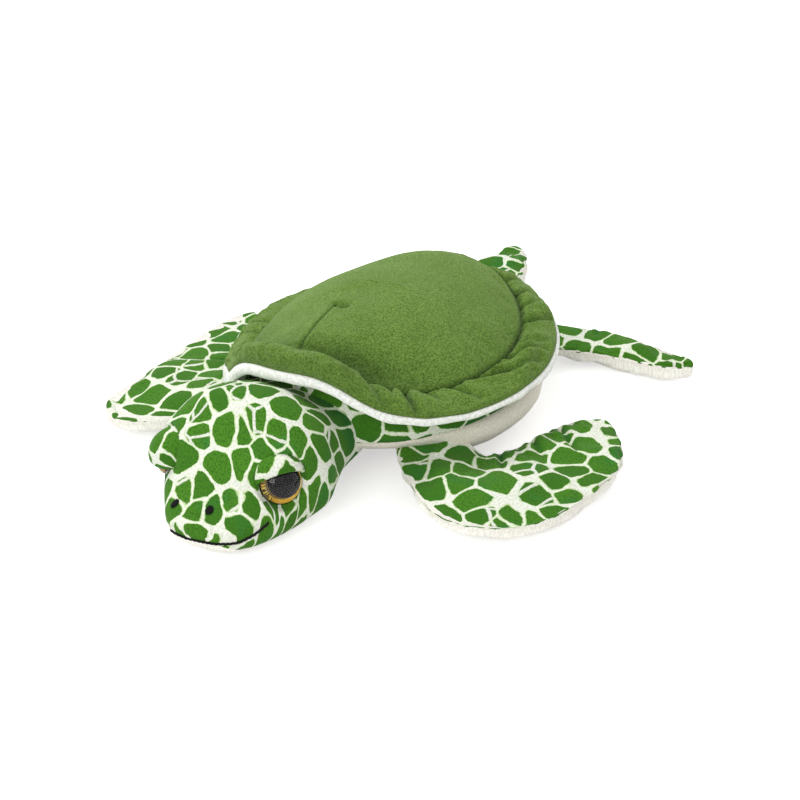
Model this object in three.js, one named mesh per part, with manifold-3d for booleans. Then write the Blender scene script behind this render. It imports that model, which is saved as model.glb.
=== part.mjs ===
// Stuffed sea turtle that lies on its belly, in millimetres, +Z up, nose towards -Y, its left towards +X.
// The origin is on the floor, in the middle of the flat of the belly.

import * as THREE from 'three';
import { mergeVertices } from 'three/addons/utils/BufferGeometryUtils.js';
import Module from 'manifold-3d';

// Cloth and clearances
const gap = 0.3;                  // between neighbouring pieces
const plushWall = 2.2;            // short-pile plush with its backing
const restFlat = 0.5;             // how far the belly is pressed flat
const sliver = 0.08;              // a cut leaves no facet thinner than this

// Body, a bun that is widest at its waist
const bodyHalfWidth = 77;
const bodyHalfLength = 82;
const waistHeight = 24;
const bellyRoundness = 2.7;       // exponent of the section below the waist

// Shell: a dome inside a padded rim
const domeHalfWidth = 68;
const domeHalfLength = 76;
const domeRise = 28;              // from the seam at the sides to the dome's top
const domeFullness = 1.8;         // exponent of the dome's section
const domeShoulder = 0.76;        // under 1 fills the dome out above its seam
const seamRise = 18;              // dome seam at the sides, above the waist
const seamArch = 25;              // how much the seam arches up over the neck
const seamRearRise = 16;
const shellLean = 7;              // the shell's right side lies this much lower than its left
const rimSideWidth = 19;
const rimEndWidth = 17;
const rimThickness = 7.4;
const rimDrop = 4;                // the rim's outer edge lies lower than the seam by this
const rimArch = 29;               // how much the rim arches up over the neck
const rimRearRise = 10;
const rimDip = 8;                 // the rim's right front corner droops
const rimPuff = 1.5;
const paddingTuck = 2.5;          // the padding ends this far inside the rim's edge
const archAngle = 3;
const archHalfAngle = 28;
const dipAngle = -68;
const dipSpread = 18;

// Head and neck, given by stations from the neck to the snout
const neckHalfWidth = 39;
const neckTop = 49;
const neckUnder = 8;
const neckWidest = 26;            // height at which the neck is widest
const neckTuck = 12;              // the neck's stuffing starts this far inside the body's outline
const crownDistance = 30;         // the highest and widest place of the head, in front of the body
const headLength = 84;            // from the body's front to the nose
const jawHalfWidth = 44;
const jawHeight = 11.5;           // height at which the snout is widest
const cheekHeight = 19;           // and the head at its crown
const crownHeight = 60;
const browTop = 37;
const snoutTop = 20;
const snoutHalfWidth = 20;
const noseUnder = 7;
const chinClearance = 0.5;
const chinSeam = 7;               // height of the seam between print and chin cloth
const headSquareness = 2.3;

// Plastic eyes
const eyeRadius = 10;
const eyeDome = 6.5;
const pupilRadius = 6.6;
const eyeDiscThickness = 0.8;
const eyeBackThickness = 1.6;
const shankRadius = 2.4;
const shankLength = 13;
const washerRadius = 8;
const washerThickness = 1.4;
const eyeFacing = new THREE.Vector3(0.74, -0.54, 0.4).normalize();
const eyeAxisSetback = 56;        // where the eyes' axes meet, behind the nose
const eyeAxisHeight = 13.5;
const eyeSink = 1.7;              // how far the eye is pressed into the cloth
const lensLip = 0.8;
const lidRadius = 11.8;
const lidThickness = 8.9;
const lidShift = new THREE.Vector3(-2.5, 3, 3.5);

// Embroidery
const stitchRadius = 0.8;
const nostrilLength = 4;
const nostrilSpacing = 20;
const nostrilSetback = 7;
const nostrilTilt = 24;
const mouthHalfAngle = 66;
const mouthFrontHeight = 8.5;
const mouthCornerRise = 6.5;
const mouthSetback = 41;          // centre of the smile's curve, behind the nose

// Flippers
const rootHalfThickness = 3.4;
const frontHalfThickness = 7;
const hindHalfThickness = 6.6;
const tipHalfThickness = 4;
const rootDrop = 6;               // the flippers' seams lie this far below the waist
const frontLieHeight = 7.6;
const hindLieHeight = 6.8;
const frontFlapUp = 25;
const frontFlapDown = 20;
const hindFlapUp = 30;
const hindFlapDown = 20;
const nodUp = 16;
const nodDown = 10;
const nodAxisInset = 20;          // the neck bends about a line this far inside the body
const nodAxisRise = 6;
const headTurn = 6;               // the head lies turned this many degrees to the turtle's left

// Flipper outlines from the middle of their root seams: out to the side, then to the rear
const frontSeamAngle = 53;
const hindSeamAngle = 149;
const leftFrontEdge = [[-14, -15], [15, -33], [43, -40], [65, -27], [76, 6], [77, 37], [72, 64], [61, 81]];
const leftRearEdge = [[12, 27], [19, 26], [24, 29], [28, 37], [31, 47], [34, 57], [39, 69], [49, 81]];
const rightFrontEdge = [[-14, -15], [15, -41], [42, -53], [59, -43], [68, 1], [71, 43], [70, 74], [62, 91]];
const rightRearEdge = [[12, 27], [19, 24], [23, 27], [27, 36], [32, 48], [37, 60], [43, 74], [51, 89]];
const hindSideFront = [[15, -12], [16, 6], [21, 20], [34, 26], [50, 29], [66, 34], [80, 40]];
const hindSideRear = [[-18, 9], [-13, 33], [-2, 51], [20, 56], [45, 56], [65, 54], [79, 51]];
const hindBackOuter = [[15, -12], [19, 20], [19, 50], [17, 75], [14, 100], [11, 120], [6, 133]];
const hindBackInner = [[-18, 9], [-24, 32], [-28, 55], [-27, 75], [-22, 93], [-13, 113], [-2, 132]];

// Colours
const velvetGreen = 0x567a36;
const printGreen = 0x4b9140;
const creamCloth = 0xece7d8;
const liningWhite = 0xf3f1ea;
const stuffingWhite = 0xf6f6f2;
const threadBlack = 0x101010;
const lensColour = 0x2a1a08;
const irisAmber = 0xb9862c;
const eyeBlack = 0x0b0a09;
const washerWhite = 0xd8d8d4;

const degrees = Math.PI / 180;
const up = new THREE.Vector3(0, 0, 1);
const wasm = await Module();
wasm.setup();

const cloth = (color) => new THREE.MeshStandardMaterial({ color, roughness: 0.95, metalness: 0 });
const plastic = (color) => new THREE.MeshStandardMaterial({ color, roughness: 0.15, metalness: 0 });

// A closed surface through rings of points. Open ends are closed by a strip across the ring,
// and with endsMeet the last ring runs on into the first.
function loft(rings, endsMeet = false) {
  const count = rings[0].length;
  const corners = [];
  const positions = rings.flat().flatMap((point) => point.toArray());
  const last = endsMeet ? rings.length : rings.length - 1;
  for (let ring = 0; ring < last; ring++) {
    const here = ring * count;
    const next = ((ring + 1) % rings.length) * count;
    for (let k = 0; k < count; k++) {
      const after = (k + 1) % count;
      corners.push(here + k, here + after, next + after, here + k, next + after, next + k);
    }
  }
  if (!endsMeet) {
    const end = (rings.length - 1) * count;
    for (let k = 0; k < count / 2 - 1; k++) {
      const [near, nearNext, farNext, far] = [k, k + 1, count - 2 - k, count - 1 - k];
      corners.push(near, farNext, nearNext, near, far, farNext);
      corners.push(end + near, end + nearNext, end + farNext, end + near, end + farNext, end + far);
    }
  }
  const geometry = new THREE.BufferGeometry();
  geometry.setAttribute('position', new THREE.Float32BufferAttribute(positions, 3));
  geometry.setIndex(corners);
  return facingOut(geometry);
}

function signedVolume(geometry) {
  const [a, b, c] = [new THREE.Vector3(), new THREE.Vector3(), new THREE.Vector3()];
  const place = geometry.attributes.position;
  let volume = 0;
  for (let k = 0; k < geometry.index.count; k += 3) {
    a.fromBufferAttribute(place, geometry.index.getX(k));
    b.fromBufferAttribute(place, geometry.index.getX(k + 1));
    c.fromBufferAttribute(place, geometry.index.getX(k + 2));
    volume += a.dot(b.cross(c)) / 6;
  }
  return volume;
}

function facingOut(geometry) {
  if (signedVolume(geometry) < 0) {
    geometry.setIndex(Array.from(geometry.index.array).reverse());
  }
  return geometry;
}

function solid(geometry) {
  const bare = geometry.clone();
  bare.deleteAttribute('normal');
  bare.deleteAttribute('uv');
  const merged = mergeVertices(bare, 1e-4);
  const corners = merged.index.array;
  const kept = [];
  for (let k = 0; k < corners.length; k += 3) {
    const [a, b, c] = [corners[k], corners[k + 1], corners[k + 2]];
    if (a !== b && b !== c && a !== c) kept.push(a, b, c);
  }
  return new wasm.Manifold(new wasm.Mesh({
    numProp: 3,
    vertProperties: new Float32Array(merged.attributes.position.array),
    triVerts: new Uint32Array(kept),
  }));
}

function geometryOf(body) {
  const mesh = body.getMesh();
  const geometry = new THREE.BufferGeometry();
  geometry.setAttribute('position', new THREE.BufferAttribute(mesh.vertProperties, 3));
  geometry.setIndex(new THREE.BufferAttribute(mesh.triVerts, 1));
  geometry.computeVertexNormals();
  return geometry;
}

// A cut can leave crumbs beside the piece
function largest(body) {
  return body.decompose().reduce((best, other) => (other.volume() > best.volume() ? other : best));
}

const turtle = new THREE.Group();

function addPiece(name, body, material, group = turtle) {
  const geometry = body.isBufferGeometry ? body : geometryOf(largest(body).asOriginal().simplify(sliver));
  const mesh = new THREE.Mesh(geometry, material);
  mesh.name = name;
  group.add(mesh);
}

// Heights and places that follow from the sizes above
const seamHeight = waistHeight + seamRise;
const domeTop = seamHeight + domeRise;
const rimHeight = seamHeight - rimDrop;
const rimHalfWidth = domeHalfWidth + rimSideWidth;
const rimHalfLength = domeHalfLength + rimEndWidth;
const halfRim = rimThickness / 2;
const snoutEnd = bodyHalfLength + headLength;
const crownPlace = bodyHalfLength + crownDistance;
const mouthCentre = snoutEnd - mouthSetback;
const rootHeight = waistHeight - rootDrop;
const stuffingInset = plushWall + gap;

const mix = THREE.MathUtils.lerp;
const signedPower = (value, power) => Math.sign(value) * Math.abs(value) ** power;

// Heights around the shell. The angle runs from the nose, 0, towards the turtle's left.
const roundSteps = 32;
const roundAngles = Array.from({ length: roundSteps }, (_, k) => (k / roundSteps) * 360 - 180);
const around = (angle, halfWidth, halfLength, height) => new THREE.Vector3(
  halfWidth * Math.sin(angle * degrees), -halfLength * Math.cos(angle * degrees), height);

const arch = (angle) => 1 / (1 + (Math.abs(angle - archAngle) / archHalfAngle) ** 4);
const rearRise = (angle) => 0.5 - 0.5 * Math.cos(Math.PI * Math.max(0, Math.abs(angle) - 90) / 90);
const droop = (angle) => Math.exp(-(((angle - dipAngle) / dipSpread) ** 2));
const lean = (angle) => shellLean * (1 - Math.sin(angle * degrees)) / 2;
const domeSeam = (angle) => seamHeight + seamArch * arch(angle) + seamRearRise * rearRise(angle)
  - lean(angle);
const rimEdge = (angle) => rimHeight + rimArch * arch(angle) + rimRearRise * rearRise(angle)
  - rimDip * droop(angle) - lean(angle);

// Middle surface of the rim: across is 0 at the dome seam and 1 at the outer edge
function rimPoint(angle, across, lift) {
  const height = mix(domeSeam(angle), rimEdge(angle), across) + rimPuff * Math.sin(Math.PI * across);
  return around(angle, mix(domeHalfWidth, rimHalfWidth, across), mix(domeHalfLength, rimHalfLength, across),
    height + lift);
}

function rimLayer(low, high, inner, outer) {
  const stops = [inner, mix(inner, outer, 0.5), outer];
  return loft(roundAngles.map((angle) => [
    ...stops.map((across) => rimPoint(angle, across, high)),
    ...stops.toReversed().map((across) => rimPoint(angle, across, low)),
  ]), true);
}

// The rim's whole thickness, and what keeps clear of it
const rimInner = gap / rimSideWidth;
const rimClear = rimLayer(-halfRim - gap, halfRim + gap, -rimInner, 1 + rimInner);

// One ring of the bun, from the bottom's middle, -1, over the waist, 0, to the dome seam, 1
function bunRing(level, grow, floor) {
  return roundAngles.map((angle) => {
    if (level <= 0) {
      const tilt = level * Math.PI / 2;
      const reach = Math.abs(Math.cos(tilt)) ** (2 / bellyRoundness);
      const drop = (waistHeight + restFlat + grow) * Math.abs(Math.sin(tilt)) ** (2 / bellyRoundness);
      return around(angle, (bodyHalfWidth + grow) * reach, (bodyHalfLength + grow) * reach,
        Math.max(floor, waistHeight - drop));
    }
    const topHeight = domeSeam(angle) - halfRim - gap + Math.min(grow, 0);
    const inset = level ** 2;
    return around(angle, mix(bodyHalfWidth, domeHalfWidth, inset) + grow,
      mix(bodyHalfLength, domeHalfLength, inset) + grow, mix(waistHeight, topHeight, level));
  });
}

const restLevel = -(2 / Math.PI) * Math.asin(
  (waistHeight / (waistHeight + restFlat)) ** (bellyRoundness / 2));
const bellyLevels = [-0.98, restLevel, -0.62, -0.4, -0.2, 0];
const flankLevels = [0.5, 1];
const flankStart = 1.5 * gap / seamRise;

function bunTopRing(share, grow) {
  return roundAngles.map((angle) => {
    const edge = domeSeam(angle) - halfRim - gap;
    return around(angle, (domeHalfWidth + grow) * share, (domeHalfLength + grow) * share,
      mix(seamHeight - gap, edge, share * share) + Math.min(grow, 0));
  });
}

function bun(grow, floor) {
  return loft([
    ...[...bellyLevels, ...flankLevels].map((level) => bunRing(level, grow, floor)),
    bunTopRing(0.6, grow), bunTopRing(0.15, grow),
  ]);
}

// Dome, from its seam to its top
const domeShares = [1, 0.95, 0.82, 0.6, 0.35, 0.1];

function domeRing(share, inset) {
  return roundAngles.map((angle) => {
    const foot = domeSeam(angle) + halfRim;
    const rise = (1 - share ** domeFullness) ** domeShoulder;
    return around(angle, (domeHalfWidth - inset) * share, (domeHalfLength - inset) * share,
      mix(foot, domeTop, rise) - inset);
  });
}

const domeFoot = (inset) => roundAngles.map((angle) => around(
  angle, domeHalfWidth - inset, domeHalfLength - inset, domeSeam(angle) - halfRim));

function domeBottomRing(share, inset) {
  return roundAngles.map((angle) => around(angle, (domeHalfWidth - inset) * share,
    (domeHalfLength - inset) * share, mix(seamHeight, domeSeam(angle) - halfRim, share * share)));
}

const domeCover = loft([
  ...domeShares.toReversed().map((share) => domeRing(share, plushWall)),
  domeFoot(plushWall), domeFoot(0),
  ...domeShares.map((share) => domeRing(share, 0)),
]);
const domeFilling = loft([
  ...domeShares.toReversed().map((share) => domeRing(share, stuffingInset)),
  domeFoot(stuffingInset), domeBottomRing(0.6, stuffingInset), domeBottomRing(0.15, stuffingInset),
]);

const bellyCover = solid(loft([
  ...bellyLevels.map((level) => bunRing(level, -plushWall, plushWall)),
  ...bellyLevels.toReversed().map((level) => bunRing(level, 0, 0)),
]));

// The upper cloth starts just above the seam that it shares with the belly
const flankCover = solid(loft([
  ...[flankStart, ...flankLevels].map((level) => bunRing(level, -plushWall, 0)),
  ...[flankStart, ...flankLevels].toReversed().map((level) => bunRing(level, 0, 0)),
], true));

// Anything moved about a hinge line: the trunk as the moving piece meets it at each end of its travel
function turnedAbout(geometry, place, axis, angle) {
  const turn = new THREE.Matrix4().makeTranslation(place)
    .multiply(new THREE.Matrix4().makeRotationAxis(axis, angle * degrees))
    .multiply(new THREE.Matrix4().makeTranslation(place.clone().negate()));
  return geometry.clone().applyMatrix4(turn);
}

const trunkShapes = [bun(gap, -gap), rimClear];

function roomToMove(shapes, place, axis, travelDown, travelUp) {
  const angles = [-travelDown, -travelDown / 2, 0, travelUp / 2, travelUp];
  return wasm.Manifold.union(angles.flatMap((angle) => shapes.map(
    (shape) => solid(turnedAbout(shape, place, axis, -angle)))));
}

// Head and neck
function headStation(y, half, under, wide, top) {
  return { y, sizes: [half, under, wide, top] };
}
const alongNeck = (share) => mix(bodyHalfLength, crownPlace, share);
const alongSnout = (share) => mix(crownPlace, snoutEnd, share);
const snoutWidth = (share) => mix(jawHalfWidth, snoutHalfWidth, share);
const widestHeight = (share) => mix(cheekHeight, jawHeight, share);
const underside = (share) => mix(chinClearance, noseUnder, share);
const headStations = [
  headStation(bodyHalfLength - neckTuck, neckHalfWidth * 0.97, neckUnder, neckWidest, neckTop * 0.94),
  headStation(alongNeck(0.07), neckHalfWidth, mix(neckUnder, chinClearance, 0.27),
    mix(neckWidest, cheekHeight, 0.15), neckTop),
  headStation(alongNeck(0.53), mix(neckHalfWidth, jawHalfWidth, 0.6), mix(neckUnder, chinClearance, 0.8),
    mix(neckWidest, cheekHeight, 0.55), mix(neckTop, crownHeight, 0.8)),
  headStation(crownPlace, jawHalfWidth, chinClearance, cheekHeight, crownHeight),
  headStation(alongSnout(0.26), snoutWidth(0.18), chinClearance, widestHeight(0.25),
    mix(browTop, crownHeight, 0.6)),
  headStation(alongSnout(0.52), snoutWidth(0.45), chinClearance, widestHeight(0.55), browTop),
  headStation(alongSnout(0.72), snoutWidth(0.73), chinClearance, widestHeight(0.8),
    mix(snoutTop, browTop, 0.3)),
  headStation(alongSnout(0.87), snoutHalfWidth, underside(0.15), widestHeight(0.93), snoutTop),
  headStation(alongSnout(0.963), snoutHalfWidth * 0.64, underside(0.54), jawHeight, snoutTop * 0.85),
  headStation(snoutEnd, snoutHalfWidth * 0.3, noseUnder, jawHeight, snoutTop * 0.7),
];
const headCurve = new THREE.CubicInterpolant(
  headStations.map((station) => station.y), headStations.flatMap((station) => station.sizes), 4);
const headRingSize = 22;
const betweenStations = headStations.slice(2, 7).map(
  (station, k) => (station.y + headStations[k + 3].y) / 2);
const headPlaces = [...headStations.map((station) => station.y), ...betweenStations].sort((a, b) => a - b);

function headRing(y, grow) {
  const [half, under, wide, top] = headCurve.evaluate(y);
  const forward = grow * THREE.MathUtils.clamp((y - mouthCentre) / (snoutEnd - mouthCentre), 0, 1);
  return Array.from({ length: headRingSize }, (_, k) => {
    const turn = ((k + 0.5) / headRingSize) * 2 * Math.PI;
    const side = signedPower(Math.cos(turn), 2 / headSquareness);
    const rise = signedPower(Math.sin(turn), 2 / headSquareness);
    const reach = rise > 0 ? top - wide : wide - under;
    return new THREE.Vector3((half + grow) * side, -y - forward, wide + (reach + grow) * rise);
  });
}

const headForm = (grow) => loft(headPlaces.map((y) => headRing(y, grow)));

const nodPlace = new THREE.Vector3(0, nodAxisInset - bodyHalfLength, waistHeight + nodAxisRise);
const nodAxis = new THREE.Vector3(-1, 0, 0);
const turnPlace = new THREE.Vector3(0, -crownPlace, 0);
const trunkSeenFromHead = trunkShapes.map((shape) => turnedAbout(shape, turnPlace, up, -headTurn));
const headRoom = roomToMove(trunkSeenFromHead, nodPlace, nodAxis, nodDown, nodUp);
const turnedHead = new THREE.Group();
turnedHead.position.copy(turnPlace);
turnedHead.rotation.z = headTurn * degrees;
turtle.add(turnedHead);
const head = new THREE.Group();
head.position.copy(turnPlace).negate();
turnedHead.add(head);
const headOuter = headForm(0);
const headSkin = new THREE.Mesh(headOuter, new THREE.MeshBasicMaterial({ side: THREE.DoubleSide }));

function onHead(from, direction) {
  const hits = new THREE.Raycaster(from, direction.clone().normalize()).intersectObject(headSkin);
  return hits[0].point;
}

// The chin's seam is level, so one tall box on either side of it parts the two cloths
const seamBox = (way) => solid(new THREE.BoxGeometry(4 * snoutEnd, 4 * snoutEnd, snoutEnd)
  .translate(0, 0, chinSeam + way * (snoutEnd + gap) / 2));

// Eyes: a domed clear lens on a painted disc, held by a shank and a lock washer behind the cloth
function eyeFrame(side) {
  const facing = eyeFacing.clone().setX(eyeFacing.x * side);
  const axisStart = new THREE.Vector3(0, eyeAxisSetback - snoutEnd, eyeAxisHeight);
  const place = onHead(axisStart, facing).addScaledVector(facing, -eyeSink);
  return new THREE.Matrix4().compose(place, new THREE.Quaternion().setFromUnitVectors(up, facing),
    new THREE.Vector3(1, 1, 1));
}

const eyeSegments = 16;
function disc(radius, low, high) {
  return new THREE.CylinderGeometry(radius, radius, high - low, eyeSegments).rotateX(Math.PI / 2)
    .translate(0, 0, (low + high) / 2);
}

function lensShape(grow) {
  const profile = [new THREE.Vector2(0, -grow), new THREE.Vector2(eyeRadius + grow, -grow)];
  for (const share of [0.95, 0.75, 0.45, 0.15]) {
    profile.push(new THREE.Vector2((eyeRadius + grow) * share,
      lensLip + (eyeDome + grow - lensLip) * Math.sqrt(1 - share * share)));
  }
  profile.push(new THREE.Vector2(0, eyeDome + grow));
  return new THREE.LatheGeometry(profile, eyeSegments).rotateX(Math.PI / 2);
}

const irisTop = -gap;
const irisBottom = irisTop - eyeDiscThickness;
const backTop = irisBottom - gap;
const backBottom = backTop - eyeBackThickness;
const washerTop = backBottom - plushWall - 2 * gap;

function eyeBack(grow) {
  return solid(disc(eyeRadius + grow, backBottom - grow, backTop + grow))
    .add(solid(disc(shankRadius + grow, backBottom - shankLength - grow, backTop)));
}

function placed(body, frame) {
  return solid(geometryOf(body).applyMatrix4(frame));
}

// What the eye takes out of the cloth, and with its washer out of the stuffing
const eyeSeat = solid(disc(eyeRadius + gap, backBottom - gap, 3 * eyeDome)).add(eyeBack(gap));
const eyeSocket = eyeSeat.add(
  solid(disc(washerRadius + gap, washerTop - washerThickness - gap, washerTop + gap)));

function addEye(side, word) {
  const frame = eyeFrame(side);
  const ring = solid(disc(eyeRadius, irisBottom, irisTop))
    .subtract(solid(disc(pupilRadius + gap, irisBottom - 1, 1)));
  const washer = solid(disc(washerRadius, washerTop - washerThickness, washerTop))
    .subtract(solid(disc(shankRadius + gap, washerTop - washerThickness - 1, washerTop + 1)));
  const pupil = solid(disc(pupilRadius, irisBottom, irisTop));
  addPiece(`${word}_eye_lens`, placed(solid(lensShape(0)), frame), plastic(lensColour), head);
  addPiece(`${word}_eye_iris`, placed(ring, frame), plastic(irisAmber), head);
  addPiece(`${word}_eye_pupil`, placed(pupil, frame), plastic(eyeBlack), head);
  addPiece(`${word}_eye_back`, placed(eyeBack(0), frame), plastic(eyeBlack), head);
  addPiece(`${word}_eye_washer`, placed(washer, frame), plastic(washerWhite), head);
}

function eyelid(side) {
  const frame = eyeFrame(side);
  const lid = new THREE.SphereGeometry(1, 14, 10).scale(lidRadius, lidRadius, lidThickness)
    .applyMatrix4(frame).translate(lidShift.x * side, lidShift.y, lidShift.z);
  const open = placed(
    solid(lensShape(2 * gap)).add(solid(disc(eyeRadius + gap, backBottom - gap, gap))), frame);
  return solid(lid).subtract(solid(headForm(gap))).subtract(open);
}

// Embroidered nostrils and mouth, their middles on the cloth's surface
function nostril(side, grow) {
  const from = new THREE.Vector3(side * nostrilSpacing / 2, nostrilSetback - snoutEnd, 2 * crownHeight);
  const place = onHead(from, new THREE.Vector3(0, 0, -1));
  return solid(new THREE.SphereGeometry(1, 8, 6)
    .scale(nostrilLength / 2 + grow, nostrilLength * 0.4 + grow, stitchRadius + grow)
    .rotateX(nostrilTilt * degrees).translate(place.x, place.y, place.z));
}

function mouth(grow) {
  const steps = 18;
  const points = Array.from({ length: steps + 1 }, (_, k) => {
    const share = (k / steps) * 2 - 1;
    const turn = share * mouthHalfAngle * degrees;
    const from = new THREE.Vector3(0, -mouthCentre, mouthFrontHeight + mouthCornerRise * share * share);
    return onHead(from, new THREE.Vector3(Math.sin(turn), -Math.cos(turn), 0));
  });
  const line = new THREE.CatmullRomCurve3(points);
  const radius = stitchRadius + grow;
  const section = new THREE.Shape(Array.from({ length: 6 }, (_, k) => new THREE.Vector2(
    radius * Math.cos(k * Math.PI / 3), radius * Math.sin(k * Math.PI / 3))));
  return solid(new THREE.ExtrudeGeometry(section, { steps: 24, extrudePath: line }));
}

// Flippers: two seam edges, front and rear, that a stuffed pillow spans
const flipperShares = [0, 0.12, 0.24, 0.36, 0.48, 0.6, 0.72, 0.83, 0.92, 0.98, 1];
const tipRound = 0.8;

function flipperPattern(side, seamAngle, front, rear, swell, lieHeight) {
  const root = around(seamAngle, bodyHalfWidth, bodyHalfLength, 0);
  const curve = (points) => new THREE.CatmullRomCurve3(
    points.map(([out, back]) => new THREE.Vector3(side * (root.x + out), root.y + back, 0)),
    false, 'centripetal');
  const [frontEdge, rearEdge] = [curve(front), curve(rear)];
  return (share) => {
    const [lead, trail] = [frontEdge.getPoint(share), rearEdge.getPoint(share)];
    const tipShare = Math.max(0, (share - tipRound) / (1 - tipRound));
    const rounding = Math.sqrt(1 - 0.92 * tipShare ** 2);
    const centre = lead.clone().add(trail).multiplyScalar(0.5);
    const half = lead.clone().sub(trail).multiplyScalar(0.5 * rounding);
    const swelling = Math.sin(Math.PI * Math.min(1, share / 0.7) / 2);
    const taper = Math.max(0, 2 * share - 1) ** 1.4;
    const thickness = mix(mix(rootHalfThickness, swell, swelling), tipHalfThickness, taper)
      * mix(0.4, 1, rounding);
    centre.z = mix(rootHeight, lieHeight, Math.min(1, share / 0.45) ** 0.8);
    return { centre, half, thickness };
  };
}

const halfSteps = 6;
const halfTurn = Array.from({ length: halfSteps }, (_, k) => (k / (halfSteps - 1)) * Math.PI);

function flipperPoint({ centre, half, thickness }, turn, inset, lift) {
  const across = half.clone().setLength((half.length() - inset) * Math.cos(turn));
  const rise = (thickness - inset) * Math.sin(turn) + lift;
  return centre.clone().add(across).addScaledVector(up, rise);
}

function flipperHalf(pattern, way) {
  return solid(loft(flipperShares.map((share) => halfTurn.map(
    (turn) => flipperPoint(pattern(share), way * turn, 0, way * gap / 2)))))
    .subtract(flipperPillow(pattern, plushWall));
}

// The stuffed inside, which stops short of the sewn tip
function flipperPillow(pattern, inset) {
  const turns = [...halfTurn, ...halfTurn.slice(1, -1).map((turn) => turn + Math.PI)];
  return solid(loft(flipperShares.slice(0, -2).map((share) => turns.map(
    (turn) => flipperPoint(pattern(share), turn, inset, 0)))));
}

// The seam that carries a flipper runs along the bun; its hinge line is the tangent at the seam's middle
function rootHinge(side, seamAngle) {
  const place = around(side * seamAngle, bodyHalfWidth, bodyHalfLength, rootHeight);
  const outward = around(side * seamAngle, 1 / bodyHalfWidth, 1 / bodyHalfLength, 0).normalize();
  return { place, axis: outward.cross(up) };
}

function addFlipper(name, side, pattern, seamAngle, flapUp, flapDown) {
  const hinge = rootHinge(side, seamAngle);
  const room = roomToMove(trunkShapes, hinge.place, hinge.axis, flapDown, flapUp);
  addPiece(`${name}_top_cover`, flipperHalf(pattern, 1).subtract(room), cloth(printGreen));
  addPiece(`${name}_under_cover`, flipperHalf(pattern, -1).subtract(room), cloth(creamCloth));
  addPiece(`${name}_filling`, flipperPillow(pattern, stuffingInset).subtract(room), cloth(stuffingWhite));
}

// Shell and body
addPiece('shell_dome_cover', domeCover, cloth(velvetGreen));
addPiece('shell_dome_filling', domeFilling, cloth(stuffingWhite));
const layerBreak = halfRim - plushWall;
const rimPadding = solid(rimLayer(-layerBreak, layerBreak, rimInner, 1 - paddingTuck / rimSideWidth))
  .subtract(solid(rimLayer(layerBreak - gap, halfRim, 0, 1)))
  .subtract(solid(rimLayer(-halfRim, gap - layerBreak, 0, 1)));
addPiece('shell_rim_top', rimLayer(layerBreak, halfRim, rimInner, 1), cloth(velvetGreen));
addPiece('shell_rim_padding', rimPadding, cloth(stuffingWhite));
addPiece('shell_rim_lining', rimLayer(-halfRim, -layerBreak, rimInner, 1), cloth(liningWhite));
const bodyFilling = solid(bun(-stuffingInset, stuffingInset));
addPiece('body_upper_cover', flankCover.subtract(solid(rimClear)), cloth(printGreen));
addPiece('body_belly_cover', bellyCover.subtract(solid(rimClear)), cloth(creamCloth));
addPiece('body_filling', bodyFilling.subtract(solid(rimClear)), cloth(stuffingWhite));

// Head
const bothEyes = (body) => placed(body, eyeFrame(1)).add(placed(body, eyeFrame(-1)));
const stitchRoom = wasm.Manifold.union([nostril(1, gap), nostril(-1, gap), mouth(gap)]);
const headShell = solid(headOuter).subtract(solid(headForm(-plushWall))).subtract(headRoom)
  .subtract(bothEyes(eyeSeat)).subtract(stitchRoom);
const headFilling = solid(headForm(-stuffingInset)).subtract(headRoom).subtract(bothEyes(eyeSocket));
addPiece('head_cover', headShell.intersect(seamBox(1)), cloth(printGreen), head);
addPiece('chin_cover', headShell.intersect(seamBox(-1)), cloth(creamCloth), head);
addPiece('head_filling', headFilling, cloth(stuffingWhite), head);
for (const [side, word] of [[1, 'left'], [-1, 'right']]) {
  addPiece(`${word}_eyelid`, eyelid(side), cloth(printGreen), head);
  addEye(side, word);
  addPiece(`${word}_nostril_stitching`, nostril(side, 0), cloth(threadBlack), head);
}
addPiece('mouth_stitching', mouth(0), cloth(threadBlack), head);

// Flippers
const frontPattern = (side, front, rear) => flipperPattern(
  side, frontSeamAngle, front, rear, frontHalfThickness, frontLieHeight);
const hindPattern = (side, front, rear) => flipperPattern(
  side, hindSeamAngle, front, rear, hindHalfThickness, hindLieHeight);
addFlipper('left_front_flipper', 1, frontPattern(1, leftFrontEdge, leftRearEdge), frontSeamAngle,
  frontFlapUp, frontFlapDown);
addFlipper('right_front_flipper', -1, frontPattern(-1, rightFrontEdge, rightRearEdge), frontSeamAngle,
  frontFlapUp, frontFlapDown);
addFlipper('left_hind_flipper', 1, hindPattern(1, hindSideFront, hindSideRear), hindSeamAngle,
  hindFlapUp, hindFlapDown);
addFlipper('right_hind_flipper', -1, hindPattern(-1, hindBackOuter, hindBackInner), hindSeamAngle,
  hindFlapUp, hindFlapDown);

export default turtle;
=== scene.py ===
import math

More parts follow.
